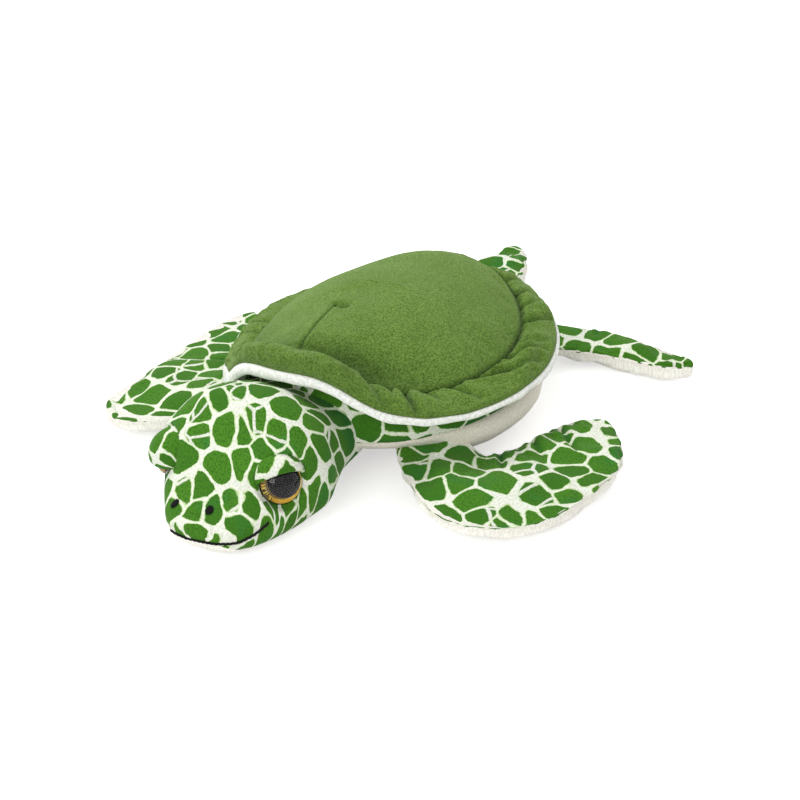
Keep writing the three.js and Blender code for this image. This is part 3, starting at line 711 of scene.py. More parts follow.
shell = {
    "domeHalfWidth": 68, "domeHalfLength": 76, "domeTop": 70, "fullness": 1.8, "shoulder": 0.76,
    "seamHeight": 42, "seamArch": 25, "seamRearRise": 16, "lean": 7,
    "rimWidth": 19, "rimEndWidth": 17, "rimHalf": 3.7, "rimHeight": 38, "rimArch": 29, "rimRearRise": 10,
    "rimDip": 8, "dipAngle": -68, "dipSpread": 18, "rimPuff": 1.5, "archAngle": 3, "archHalf": 28,
    "sideLift": 4.0, "cornerPull": 0.085, "rearSpread": 0.016,
    "sideAt": (-100, 26), "cornerAt": (-44, 22), "rearAt": (152, 20),  # angle and spread in degrees
}
bun = {
    "halfWidth": 77, "halfLength": 82, "waist": 24, "roundness": 2.7, "restFlat": 0.5,
}


def fullTurn(columns):
    return np.linspace(-180, 180, columns, endpoint=False)


def around(angle, halfWidth, halfLength, height):
    turn = angle * degree
    return np.stack(np.broadcast_arrays(halfWidth * np.sin(turn), -halfLength * np.cos(turn), height), axis=-1)


def archAt(angle):
    return 1 / (1 + (np.abs(angle - shell["archAngle"]) / shell["archHalf"]) ** 4)


def rearAt(angle):
    return 0.5 - 0.5 * np.cos(math.pi * np.maximum(0, np.abs(angle) - 90) / 90)


def leanAt(angle):
    return shell["lean"] * (1 - np.sin(angle * degree)) / 2


def domeSeam(angle):
    return (shell["seamHeight"] + shell["seamArch"] * archAt(angle)
            + shell["seamRearRise"] * rearAt(angle) - leanAt(angle))


def rimEdge(angle):
    droop = hump(angle, shell["dipAngle"], shell["dipSpread"])
    return (shell["rimHeight"] + shell["rimArch"] * archAt(angle) + shell["rimRearRise"] * rearAt(angle)
            - shell["rimDip"] * droop - leanAt(angle))


def rimMiddle(angle, across, lift):
    height = mix(domeSeam(angle), rimEdge(angle), across) + shell["rimPuff"] * np.sin(math.pi * across)
    side = shell["sideLift"] * hump(angle, *shell["sideAt"]) * across
    pull = 1 + shell["rearSpread"] * hump(angle, *shell["rearAt"]) * np.maximum(across, 0)
    pull = pull - shell["cornerPull"] * hump(angle, *shell["cornerAt"]) * np.maximum(across, 0) ** 1.5
    return around(angle, (shell["domeHalfWidth"] + shell["rimWidth"] * across) * pull,
                  (shell["domeHalfLength"] + shell["rimEndWidth"] * across) * pull, height + lift + side)


# Dome

dome = {
    "columns": 384, "rows": 112, "lumps": 0.7, "crownLift": 3.6, "crownPlace": (-8, 6), "crownSpread": 46,
    "dart": ((1.0, -79.0), (-11.0, -27.0)), "dartDepth": 1.2, "dartWidth": 0.65,
    "dimple": (-6.2, -27.4), "dimpleDepth": 3.2, "dimpleSize": 4.6, "overhang": 0.02,
    "gathers": 0.35, "valley": 5.0, "valleyAngle": 22, "valleySpread": 27, "sideValley": 2.2,
    "sideValleyAt": (-35, 60),
    "rearLift": 5.6, "rearAngle": 188, "rearSpread": 40,
    "dents": [((14.0, -64.0), 8.0, 1.2), ((-10.0, -58.0), 6.0, 1.0)],
    "pressure": 2.6, "slack": 0.01, "cap": 2.2,
    "firstRow": 0.03, "rowSpacing": 0.85, "rearFrom": (0.35, 0.8), "rearFade": 0.75, "footAt": (0.93, 1.0),
    "lumpSize": 34, "fineLumps": 0.25, "fineSize": 12, "gatherSize": 5.0, "gatherFrom": (0.78, 0.97),
    "dartShoulder": 0.3, "shoulderPlace": 2.8, "shoulderWidth": 1.8, "dimpleStretch": 1.7,
    "valleyFrom": (0.72, 0.97), "tuckRows": 6, "tuckIn": 0.035, "tuckDown": 4.5,
    "dartShade": 0.9, "dimpleShade": 0.6, "shadeSize": 4.2, "footShade": 0.9, "valleyShade": 0.17,
}


def valleyAt(angle):
    # how far the gathered foot of the dome sinks behind the front roll
    deep = dome["valley"] * hump(angle, dome["valleyAngle"], dome["valleySpread"])
    return np.maximum(deep, dome["sideValley"] * hump(angle, *dome["sideValleyAt"], 4))


def domeShape():
    angle = fullTurn(dome["columns"])[None, :]
    step = np.linspace(dome["firstRow"], 1, dome["rows"])[:, None]
    share = np.sin(step * math.pi / 2) ** dome["rowSpacing"]
    rise = (1 - share ** shell["fullness"]) ** shell["shoulder"]
    foot = domeSeam(angle) + 0.4
    height = mix(foot, shell["domeTop"], rise)
    bulge = 1 + dome["overhang"] * hump(share, 0.95, 0.05)
    grid = around(angle, shell["domeHalfWidth"] * share * bulge, shell["domeHalfLength"] * share * bulge, height)
    away = np.hypot(grid[..., 0] - dome["crownPlace"][0], grid[..., 1] - dome["crownPlace"][1])
    grid[..., 2] += dome["crownLift"] * hump(away, 0, dome["crownSpread"])
    behind = (angle - dome["rearAngle"] + 180) % 360 - 180
    grid[..., 2] += (dome["rearLift"] * hump(behind, 0, dome["rearSpread"])
                     * smooth(share, *dome["rearFrom"]) * (1 - dome["rearFade"] * smooth(share, *dome["footAt"])))
    held = smooth(share, 0.9, 0.97) + 0 * angle
    grid = grid + puffUp(grid, held, True, (3, 3), dome["pressure"], dome["slack"], dome["cap"])
    normal = gridNormals(grid, True)
    normal *= np.sign(normal[..., 2:3] + 1e-9)
    flat = grid[..., :2]
    groove, _ = segmentDistance(flat, *dome["dart"])
    lift = lumpsOf(dome, grid, 1)
    lift = lift - dome["dartDepth"] * hump(groove, 0, dome["dartWidth"])
    lift = lift + dome["dartShoulder"] * hump(groove, dome["shoulderPlace"], dome["shoulderWidth"])
    dip = valleyAt(angle)
    grid[..., 2] -= dip * smooth(share, *dome["valleyFrom"])
    pit = np.hypot((flat[..., 0] - dome["dimple"][0]), (flat[..., 1] - dome["dimple"][1]) * dome["dimpleStretch"])
    lift = lift - dome["dimpleDepth"] * hump(pit, 0, dome["dimpleSize"])
    for spot, size, depth in dome["dents"]:
        away = np.hypot(flat[..., 0] - spot[0], flat[..., 1] - spot[1])
        lift = lift - depth * hump(away, 0, size)
    waves = softNoise(np.stack(np.broadcast_arrays(angle / dome["gatherSize"], share * 2, 0), -1), 1.0, 3)
    lift = lift + dome["gathers"] * waves * smooth(share, *dome["gatherFrom"])
    grid = grid + normal * lift[..., None]
    # painted shade, darker in the dart groove, the dimple, the tucked foot and the valley behind the front roll
    paintedShade = (dome["dartShade"] * hump(groove, 0, dome["dartWidth"])
              + dome["dimpleShade"] * hump(pit, 0, dome["shadeSize"]))
    paintedShade = paintedShade + smooth(share, 0.955, 1.0) * dome["footShade"]
    paintedShade = paintedShade + dome["valleyShade"] * dip * smooth(share, 0.7, 0.93)
    tuck = np.linspace(0.15, 1, dome["tuckRows"])[:, None]
    foot = grid[-1:]
    narrower = 1 - dome["tuckIn"] * tuck
    under = foot * np.stack([narrower, narrower, 1 + 0 * tuck], -1)
    under = under - np.stack([0 * tuck, 0 * tuck, dome["tuckDown"] * tuck], -1)
    paintedShade = np.vstack([paintedShade, np.repeat(paintedShade[-1:], dome["tuckRows"], axis=0)])
    return np.vstack([grid, under]), paintedShade


domeGrid, domeShading = domeShape()
addPiece("shellDome", domeGrid, shellPlush, "trunk", paintedShade=domeShading,
         replaced=("shell_dome_cover", "shell_dome_filling"))
print("dome ready")


# Rim, with folds given by (angle, share across) at both ends, then depth and width in millimetres

rim = {
    "columns": 600, "topPuff": 1.2, "edgeRound": 3.2, "wave": 0.7,
    "frontAngle": 6, "frontSpread": 38, "frontPuff": 3.8, "liningPuff": 2.2,
    "cornerAngle": -46, "cornerSpread": (10, 27), "cornerDrop": 10.0, "cornerLift": 2.0,
    "pressure": 3.0, "slack": 0.1, "cap": 1.8, "foldRadius": 82, "foldReach": 18,
    "farAngle": -130, "farSpread": 62, "farDrop": 2.4, "foldLoss": 0.7, "foldBank": 0.42,
    "topTuck": -0.12, "topRows": 34, "liningTuck": -0.06, "liningRows": 30, "backRows": 8,
    "topGap": 0.3, "liningGap": 0.4,
    "lipThick": 1.35, "lipFront": 0.9, "lipCorner": 0.45, "lipUneven": 0.3, "lipReach": 0.062,
    "foldShade": 3.6, "seamShade": 0.9, "frontShade": 0.1,
    "folds": [
        ((45, 0.0), (47.5, 1.0), 5.4, 2.1), ((31, 0.15), (37.5, 0.9), 4.2, 2.2), ((39.5, 0.0), (41.5, 0.5), 2.4, 1.5),
        ((53, 0.0), (57, 0.6), 2.6, 1.9), ((63, 0.0), (70, 0.75), 3.6, 2.1), ((74, 0.05), (103, 0.85), 4.4, 1.9),
        ((85, 0.0), (98, 0.45), 2.8, 1.7), ((94, 0.0), (111, 0.88), 3.8, 1.9), ((105, 0.0), (116, 0.9), 2.8, 1.9),
        ((122, 0.0), (131, 0.95), 3.2, 1.9), ((133, 0.0), (139, 0.9), 2.1, 1.8), ((142, 0.0), (149, 0.95), 3.0, 1.9),
        ((154, 0.0), (158, 0.8), 2.0, 2.0), ((169, 0.0), (175, 0.8), 2.0, 2.3), ((-62, 0.0), (-67, 0.9), 2.4, 2.4),
        ((-75, 0.0), (-79, 0.95), 3.4, 2.1), ((-86, 0.0), (-84, 0.9), 2.6, 2.0), ((-98, 0.0), (-101, 0.8), 1.8, 2.3),
        ((-112, 0.0), (-110, 0.9), 1.6, 2.3), ((-127, 0.0), (-130, 0.8), 1.3, 2.5),
        ((-141, 0.0), (-139, 0.9), 1.4, 2.1), ((-156, 0.0), (-158, 0.8), 1.2, 2.3),
        ((-168, 0.0), (-166, 0.7), 1.3, 2.2),
    ],
}


def frontOf(angle):
    return hump(angle, rim["frontAngle"], rim["frontSpread"], 4)


def cornerOf(angle):
    # where the rim curls up and shows its lining
    spread = np.where(angle < rim["cornerAngle"], *rim["cornerSpread"])
    return hump(angle, rim["cornerAngle"], spread)


def foldDepth(angle, across):
    arc, wide = rim["foldRadius"] * degree, rim["foldReach"]
    spot = np.stack(np.broadcast_arrays(angle * arc, across * wide), -1)
    total = np.zeros(spot.shape[:-1])
    for start, end, depth, width in rim["folds"]:
        reach, along = segmentDistance(spot, (start[0] * arc, start[1] * wide), (end[0] * arc, end[1] * wide))
        fade = 1 - rim["foldLoss"] * along
        total -= depth * fade * hump(reach, 0, width)
        total += rim["foldBank"] * depth * fade * hump(reach, 2.1 * width, 1.1 * width)
    return total


def rimWave(angle):
    ring = around(angle, 80, 80, 0 * angle)
    corner = rim["cornerLift"] * cornerOf(angle)
    return rim["wave"] * softNoise(ring, 26, 11) + 0.35 * softNoise(ring, 9, 12) + corner


def rimTopShape():
    angle = fullTurn(rim["columns"])[None, :]
    across = np.linspace(rim["topTuck"], 1, rim["topRows"])[:, None]
    level = np.clip(across, 0, 1)
    front = frontOf(angle)
    puff = (1 - np.abs(2 * level - 1) ** rim["edgeRound"]) ** 0.55
    far = hump(angle, rim["farAngle"], rim["farSpread"], 4)
    high = shell["rimHalf"] + rim["topPuff"] + rim["frontPuff"] * front - rim["farDrop"] * far
    lift = rim["topGap"] + (high - rim["topGap"]) * puff + rimWave(angle) * across
    lift = lift - valleyAt(angle) * (1 - smooth(across, 0.0, 0.5))
    top = rimMiddle(angle, across, lift)
    held = np.maximum(1 - smooth(across, 0.0, 0.08), smooth(across, 0.93, 0.99)) + 0 * angle
    moved = puffUp(top, held, True, (2, 3), rim["pressure"], rim["slack"], rim["cap"])
    folds = foldDepth(angle, across) * np.clip(puff * 1.3, 0, 1) * (1 - 0.8 * frontOf(angle + 8))
    top = top + moved + up * (folds + 0.2 * softNoise(top, 7, 13) * puff)[..., None]
    back = np.linspace(0.97, rim["topTuck"], rim["backRows"])[:, None]
    under = rimMiddle(angle, back, 0.15 + rimWave(angle) * back - valleyAt(angle) * (1 - smooth(back, 0.0, 0.5)))
    # painted shade in the folds, along the seam with the dome, and a little over the front roll
    paintedShade = (np.clip(-folds / rim["foldShade"], 0, 1) + (1 - smooth(across, 0.0, 0.14)) * rim["seamShade"]
              + rim["frontShade"] * front)
    paintedShade = np.vstack([paintedShade + 0 * angle, np.zeros((rim["backRows"], rim["columns"]))])
    return np.vstack([top, under]), paintedShade


def rimLiningShape():
    angle = fullTurn(rim["columns"])[None, :]
    across = np.linspace(rim["liningTuck"], 1, rim["liningRows"])[:, None]
    level = np.clip(across, 0, 1)
    corner = rim["cornerDrop"] * cornerOf(angle)
    deep = shell["rimHalf"] + rim["liningPuff"] * frontOf(angle) + 0.75 * corner * smooth(across, 0.3, 1)
    puff = (1 - np.abs(2 * level - 1) ** 4) ** 0.5
    lift = -rim["liningGap"] - (deep - rim["liningGap"]) * puff + rimWave(angle) * across
    lift = lift + 0.35 * softNoise(rimMiddle(angle, across, 0.0), 7, 14) * puff
    lift = lift - valleyAt(angle) * (1 - smooth(across, 0.0, 0.5))
    below = rimMiddle(angle, across, lift)
    turn = np.linspace(-0.42, 0.5, 9)[:, None] * math.pi
    uneven = softNoise(around(angle, 90, 90, 0 * angle), 8, 15)
    thick = rim["lipThick"] + rim["lipFront"] * frontOf(angle) + rim["lipCorner"] * corner + rim["lipUneven"] * uneven
    lip = rimMiddle(angle, 1 + 0.02 + rim["lipReach"] * thick / rim["lipThick"] * np.cos(turn),
                    0.1 - thick + thick * np.sin(turn) + rimWave(angle))
    back = np.linspace(0.95, rim["liningTuck"], rim["backRows"])[:, None]
    top = rimMiddle(angle, back, -0.15 + rimWave(angle) * back - valleyAt(angle) * (1 - smooth(back, 0.0, 0.5)))
    return np.vstack([below, lip, top])


rimGrid, rimShading = rimTopShape()
rimTop = addPiece("shellRimTop", rimGrid, shellPlush, None, paintedShade=rimShading,
                  replaced=("shell_rim_top", "shell_rim_padding"), wrapRows=True)
rimLining = addPiece("shellRimLining", rimLiningShape(), liningPlush, None,
                     replaced=("shell_rim_lining",), wrapRows=True)
for piece in (rimTop, rimLining):  # the rim pieces get no body, and their placement is baked into the mesh
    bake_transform(piece)
print("rim ready")


# Body, a printed band over a cream belly that rises towards the neck

body = {"columns": 300, "lumps": 0.8, "seamPucker": 0.35, "chestRise": 0.62, "chestAngle": 38, "chestFade": 72,
        "sideBulge": 0.075, "borderLift": 2.2, "borderAt": (98, 46), "bulgeFrom": (50, 85), "bulgeTo": (130, 160),
        "lumpSize": 30, "fineLumps": 0.25, "fineSize": 9, "seamWidth": 2.2, "seamSink": 0.6, "puckerSize": 3.4,
        "printRadius": 80, "printRise": 1.05, "seamShade": 0.7}


def borderAt(angle):
    # height of the seam between the print and the cream belly
    return bun["waist"] + body["borderLift"] * hump(np.abs(angle), *body["borderAt"], 4)


def bunRing(level, angle):
    if level <= 0:
        tilt = level * math.pi / 2
        reach = abs(math.cos(tilt)) ** (2 / bun["roundness"])
        depth = abs(math.sin(tilt)) ** (2 / bun["roundness"])
        chest = body["chestRise"] * (1 - smooth(np.abs(angle), body["chestAngle"], body["chestFade"]))
        flank = (body["sideBulge"] * smooth(np.abs(angle), *body["bulgeFrom"])
                 * (1 - smooth(np.abs(angle), *body["bulgeTo"])))
        forward = reach * (1 - chest * depth ** 1.5 + flank * np.sin(math.pi * depth))
        drop = (borderAt(angle) + bun["restFlat"]) * depth
        return around(angle, bun["halfWidth"] * forward, bun["halfLength"] * forward,
                      np.maximum(0.0, borderAt(angle) - drop))
    top = domeSeam(angle) - shell["rimHalf"] - 0.6 - valleyAt(angle)
    inset = level ** 2
    return around(angle, mix(bun["halfWidth"], shell["domeHalfWidth"], inset),
                  mix(bun["halfLength"], shell["domeHalfLength"], inset), mix(borderAt(angle), top, level))


def bodyShape(levels, seed):
    angle = fullTurn(body["columns"])
    grid = np.stack([bunRing(level, angle) for level in levels])
    normal = gridNormals(grid, True)
    normal *= np.sign((normal[..., :2] * grid[..., :2]).sum(-1, keepdims=True) + 1e-9)
    lift = lumpsOf(body, grid, seed)
    lift = lift * smooth(grid[..., 2], 0.5, 8)
    nearSeam = hump(grid[..., 2], borderAt(angle), body["seamWidth"])
    pucker = softNoise(grid * np.array([1, 1, 0.2]), body["puckerSize"], seed + 2)
    lift = lift - nearSeam * (body["seamSink"] + body["seamPucker"] * pucker)
    place = np.stack(np.broadcast_arrays(angle[None] * degree * body["printRadius"],
                                         grid[..., 2] * body["printRise"], 0), -1)
    # the third value is painted shade along the sunken seam between print and cream
    return grid + normal * lift[..., None], place, body["seamShade"] * nearSeam


bellyLevels = -np.sin(np.linspace(1, 0, 60) * math.pi / 2) * 0.985
flankLevels = np.linspace(0.004, 1, 24)
for name, levels, material, slot, replaced in (
        ("bodyBelly", bellyLevels, creamPlush, "belly_plush", ("body_belly_cover",)),
        ("bodyUpper", flankLevels, printedPlush, "printed_plush", ("body_upper_cover", "body_filling"))):
    grid, place, dents = bodyShape(levels, 21)
    addPiece(name, grid, material, "trunk", replaced=replaced, printPlace=place, paintedShade=dents)
print("body ready")


# Flippers: outlines from the middle of their root seams, out to the side and then to the rear

flippers = {
    "rootHalf": 3.4, "tipShare": 0.8, "rootHeight": 18, "columns": 56, "rows": 150, "seamTurn": 4,
    "topRound": 2.2, "underRound": 2.6, "pressure": 2.4, "slack": 0.06, "cap": 2.0, "floorGap": 0.3,
    "heldTurn": (0.12, 0.36), "heldRoot": (0.02, 0.06), "heldTip": (0.97, 1), "rootEnds": 0.45, "fullFrom": 0.7,
    "lumps": 0.6, "lumpSize": 22, "fineLumps": 0.18, "fineSize": 8, "pucker": 0.1, "puckerSize": 3.0,
    "seamShade": 0.35, "creaseShade": 0.8, "creaseLoss": 0.6, "creaseBank": 0.4,
    "leftFront": {
        "side": 1, "seamAngle": 53, "tipStart": 0.87, "lie": 8.9, "top": 6.3, "under": 8.6,
        "body": "left_front_flipper",
        "front": [(-23.5, 0.3), (2.5, -25.6), (36.8, -43.8), (59.2, -35),
                  (73.8, -16), (79.7, 11.8), (79, 45.5), (65, 79)],
        "rear": [(-0.2, 25.4), (10.8, 18.4), (20.7, 16.3), (23.4, 25),
                 (28.8, 40.3), (31.5, 54.8), (36.4, 70.6), (39.5, 83.5)],
        "creases": [((84, -23), (96, -40), 2.6, 1.5), ((92.5, -7), (106, -19), 2.4, 1.6),
                    ((97.5, 12), (118, -6), 3.2, 1.7), ((76, -31), (83, -38), 1.8, 1.4)],
    },
    "rightFront": {
        "side": -1, "seamAngle": 53, "tipStart": 0.85, "lie": 10.8, "top": 4.6, "under": 10.4,
        "body": "right_front_flipper",
        "front": [(-14.1, -12.9), (0.3, -33.1), (20.6, -48), (37.4, -50.6),
                  (52.8, -39.7), (57.4, -7.6), (63.8, 43.8), (70.8, 88.1)],
        "rear": [(11.9, 27.2), (16, 27), (18, 26.7), (20.4, 34),
                 (25.1, 45.6), (30.5, 57.7), (36.7, 71), (44.6, 86.5)],
        "creases": [((-84, -10), (-104, -30), 1.6, 1.8)],
    },
    "leftHind": {
        "side": 1, "seamAngle": 149, "tipStart": 0.94, "lie": 9.6, "top": 5.2, "under": 9.2,
        "body": "left_hind_flipper",
        "front": [(-9.3, -6.5), (1.4, 2.1), (11.5, 17.4), (27, 26.3),
                  (46.8, 29.9), (68.2, 32.6), (84.4, 39.9)],
        "rear": [(-18, 9), (-13, 33), (0.9, 45.7), (20.8, 51.7),
                 (45.8, 52.2), (65.3, 50.4), (81, 47.8)],
        "creases": [((60, 128), (62, 114), 1.4, 1.6)],
    },
    "rightHind": {
        "side": -1, "seamAngle": 149, "tipStart": 0.93, "lie": 9.6, "top": 4.2, "under": 9.2,
        "body": "right_hind_flipper",
        "front": [(15, -12), (19, 20), (19, 50), (17, 75),
                  (14, 100), (9.2, 115.6), (11.2, 134.3)],
        "rear": [(-18, 9), (-24, 32), (-28, 55), (-27, 75),
                 (-28.7, 84.4), (-17.5, 108.4), (-2.7, 134.4)],
        "creases": [],
    },
}


def flipperShape(look, seed, turns):
    side = look["side"]
    root = around(np.array(float(look["seamAngle"])), bun["halfWidth"], bun["halfLength"], 0.0)
    share = np.linspace(0, 1, flippers["rows"])
    edges = []
    for key in ("front", "rear"):
        flat = splinePoint(look[key], share)
        edges.append(np.stack([side * (root[0] + flat[:, 0]), root[1] + flat[:, 1], 0 * share], -1))
    lead, trail = edges
    tipShare = np.clip((share - look["tipStart"]) / (1 - look["tipStart"]), 0, 1)
    rounding = np.sqrt(1 - 0.985 * tipShare ** 2)
    centre = (lead + trail) / 2
    half = (lead - trail) / 2 * rounding[:, None]
    centre[:, 2] = mix(flippers["rootHeight"], look["lie"], np.minimum(1, share / flippers["rootEnds"]) ** 0.8)
    isTop = math.sin(turns[len(turns) // 2]) > 0
    full = look["top"] if isTop else look["under"]
    power = 2 / (flippers["topRound"] if isTop else flippers["underRound"])
    swelling = np.sin(math.pi * np.minimum(1, share / flippers["fullFrom"]) / 2)
    taper = np.clip(2 * share - 1, 0, 1) ** 1.4
    thick = mix(mix(flippers["rootHalf"], full, swelling), flippers["tipShare"] * full, taper) * mix(0.45, 1, rounding)
    grid = centre[:, None] + half[:, None] * signedPower(np.cos(turns), power)[None, :, None]
    grid = grid + up * (thick[:, None] * signedPower(np.sin(turns), power)[None])[..., None]
    bend = np.abs(np.sin(turns))[None, :]
    atEnds = np.maximum(1 - smooth(share, *flippers["heldRoot"]), smooth(share, *flippers["heldTip"]))
    held = np.maximum(1 - smooth(bend, *flippers["heldTurn"]), atEnds[:, None])
    grid = grid + puffUp(grid, held, False, (3, 3), flippers["pressure"], flippers["slack"], flippers["cap"])
    lift = lumpsOf(flippers, grid, seed)
    pucker = softNoise(grid, flippers["puckerSize"], seed + 2) * hump(bend, 0, 0.25)
    way = 1 if isTop else -1
    grid[..., 2] += way * lift * bend + flippers["pucker"] * pucker
    # painted shade along the seam between top and under, and in the creases
    paintedShade = flippers["seamShade"] * hump(bend, 0, 0.12) + np.zeros(grid.shape[:2])
    if isTop:
        for start, end, depth, width in look["creases"]:
            reach, along = segmentDistance(grid[..., :2], start, end)
            fade = 1 - flippers["creaseLoss"] * along
            groove = fade * hump(reach, 0, width)
            shoulder = fade * hump(reach, 2.2 * width, 1.2 * width)
            grid[..., 2] += np.sqrt(bend) * depth * (flippers["creaseBank"] * shoulder - groove)
            paintedShade = paintedShade + flippers["creaseShade"] * groove
    grid[..., 2] = np.maximum(grid[..., 2], flippers["floorGap"])
    away = half / (np.linalg.norm(half, axis=1, keepdims=True) + 1e-6)
    fallen = (grid[..., 2].max(axis=1)[:, None] - grid[..., 2]) * np.sign(np.cos(turns))[None, :] * (1 - bend)
    place = grid * np.array([1, 1, 0]) + away[:, None, :] * fallen[..., None]
    return grid, place, paintedShade


def blendAtRoot(piece, look):
    angle = look["side"] * look["seamAngle"] * degree
    outwardWay = np.array([math.sin(angle) / bun["halfWidth"], -math.cos(angle) / bun["halfLength"], 0])
    outwardWay /= np.linalg.norm(outwardWay)
    seam = around(np.array(float(look["side"] * look["seamAngle"])), bun["halfWidth"], bun["halfLength"],
                  float(flippers["rootHeight"]))
    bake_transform(piece)


seamTurn = flippers["seamTurn"] * degree
topTurns = np.linspace(seamTurn, math.pi - seamTurn, flippers["columns"])
underTurns = np.linspace(math.pi - seamTurn, 2 * math.pi + seamTurn, flippers["columns"])
for seed, key in enumerate(("leftFront", "rightFront", "leftHind", "rightHind")):
    look = flippers[key]
    node = look["body"]
    for part, turns, material, slot, replaced in (
            ("Top", topTurns, printedPlush, "printed_plush", (f"{node}_top_cover", f"{node}_filling")),
            ("Under", underTurns, litCream, "belly_plush", (f"{node}_under_cover",))):
        grid, place, dents = flipperShape(look, 40 + 5 * seed, turns)
        place = place * np.array([1, 1, 0]) + np.array([seed * 61.0 + 9, 17, 0])
        piece = addPiece(f"{key}Flipper{part}", grid, material, None, replaced=replaced,
                         printPlace=place, paintedShade=dents)
        blendAtRoot(piece, look)
print("flippers ready")


# Head, in its own frame before the turn to the turtle's left

head = {
    "turn": 6, "turnPlace": (0, -112, 0), "topSquare": 2.3, "underSquare": 2.9, "columns": 220, "rows": 190,
    "chinAngle": 26, "lumps": 0.7, "snoutBend": 0.17, "snoutStart": 119, "frontSlant": 0.06,
    "creaseAt": (79, 5), "creaseShade": 0.9, "creaseSide": (8, 24), "frontmost": 165.6, "neck": 66.0,
    "slantFrom": (138, 166), "lumpSize": 26, "fineLumps": 0.25, "fineSize": 9,
    "stations": [  # distance in front, half width, underside, height of the widest place, top
        (66, 37.5, 8, 27, 44.5), (70, 38, 8, 26, 46), (84, 37.4, 6, 25, 49), (98, 40, 2, 22, 57.8),
        (112, 43.4, 0.5, 19, 60), (126, 39.7, 0.5, 17, 51), (140, 33.2, 1.2, 15.5, 37), (151, 26.6, 2.0, 14.4, 26),
        (159, 21.2, 3.8, 13.8, 21), (164, 14.6, 6.2, 13.4, 18), (165.6, 7.4, 9, 13.2, 15.6),
    ],
}
eye = {
    "facing": (0.74, -0.54, 0.4), "radius": 10.0, "dome": 6.5, "socket": 10.8, "socketFade": 3.0,
    "browOut": 3.4, "browPlace": 14.0, "browSpread": 6.0,
    "lidEdge": (27, -22), "lidBack": 136, "lidTilt": -1, "lidThick": (2.9, 2.2), "lidOver": 0.4, "lidReach": 88,
    "pupil": 7.3, "pupilShift": (1.3, 0.6), "irisFloor": 0.2,  # the paint lies just inside the back of the lens
    "skinDepth": (-2.8, -0.2), "skinRing": (9.8, 10.5), "behind": -20, "browRise": (-2, 9),
    "lidHem": 6.5, "lidCrown": 0.4, "lidEnds": 0.12, "lidLumps": 0.3,
}


def turnedWay(way):
    way = np.asarray(way, float)
    c, s = math.cos(head["turn"] * degree), math.sin(head["turn"] * degree)
    return np.stack([way[..., 0] * c - way[..., 1] * s, way[..., 0] * s + way[..., 1] * c, way[..., 2]], -1)


def turned(place):
    middle = np.array(head["turnPlace"], float)
    return turnedWay(np.asarray(place, float) - middle) + middle


def headPoint(distance, turn):
    stations = np.array(head["stations"], float)
    sizes = curveThrough(stations[:, 0], stations[:, 1:], distance)
    half, under, wide, top = (sizes[..., k] for k in range(4))
    power = 2 / np.where(np.sin(turn) > 0, head["topSquare"], head["underSquare"])
    side = signedPower(np.cos(turn), power)
    rise = signedPower(np.sin(turn), power)
    reach = np.where(rise > 0, top - wide, wide - under)
    bend = head["snoutBend"] * np.maximum(0, distance - head["snoutStart"])
    slant = head["frontSlant"] * half * side * smooth(distance, *head["slantFrom"])
    return np.stack(np.broadcast_arrays(half * side + bend, slant - distance, wide + reach * rise), -1)


def eyeFrame(side):
    # origin on the back of the lens, then right, up and outward ways
    word = "left" if side > 0 else "right"
    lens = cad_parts[f"{word}_eye_lens"]
    points = np.array([vertex.co[:] for vertex in lens.data.vertices]) / mm
    outwards = turnedWay(np.array([eye["facing"][0] * side, eye["facing"][1], eye["facing"][2]]))
    outwards = outwards / np.linalg.norm(outwards)
    middle = points.mean(axis=0)
    origin = middle + outwards * ((points @ outwards).min() - middle @ outwards)
    across = np.cross(up, outwards)
    across /= np.linalg.norm(across)
    return origin, across, np.cross(outwards, across), outwards


def shapeAroundEye(place, side):
    origin, across, over, outwards = eyeFrame(side)
    local = place - origin
    sideways, rise, out = local @ across, local @ over, local @ outwards
    away = np.hypot(sideways, rise)
    near = out > eye["behind"]
    inside = 1 - smooth(away, eye["socket"], eye["socket"] + eye["socketFade"])
    sunk = np.minimum(out, mix(*eye["skinDepth"], smooth(away, *eye["skinRing"])))
    change = np.where(near, (sunk - out) * inside, 0)
    brow = hump(away, eye["browPlace"], eye["browSpread"]) * smooth(rise, *eye["browRise"])
    change = change + np.where(near, eye["browOut"] * brow * (1 - inside), 0)
    return place + outwards * change[..., None]


def headShape(turns):
    step = np.linspace(0, 1, head["rows"])
    distance = mix(head["neck"], head["frontmost"], np.sin(step * math.pi / 2) ** 0.85)
    grid = headPoint(distance[:, None], turns[None, :])
    normal = gridNormals(grid, False)
    centre = np.stack([0 * grid[..., 0], grid[..., 1], 0 * grid[..., 2] + 20], -1)
    normal *= np.sign(((grid - centre) * normal).sum(-1, keepdims=True) + 1e-9)
    lift = lumpsOf(head, grid, 61)
    lift = lift * smooth(grid[..., 2], 1.5, 12)
    grid = turned(grid + normal * lift[..., None])
    for side in (1, -1):
        grid = shapeAroundEye(grid, side)
    girth = np.linalg.norm(np.diff(grid, axis=1), axis=-1)
    girth = np.concatenate([np.zeros((len(grid), 1)), np.cumsum(girth, axis=1)], axis=1)
    girth = girth - girth[:, girth.shape[1] // 2][:, None]
    middle = grid[:, grid.shape[1] // 2]
    along = np.concatenate([[0], np.cumsum(np.linalg.norm(np.diff(middle, axis=0), axis=-1))])
    # painted shade: a darker band round the back of the head, on its left side only
    creaseShading = (head["creaseShade"] * hump(distance[:, None], *head["creaseAt"])
              * smooth(grid[..., 0], *head["creaseSide"]))
    return grid, np.stack(np.broadcast_arrays(girth, along[:, None], 0), -1), creaseShading


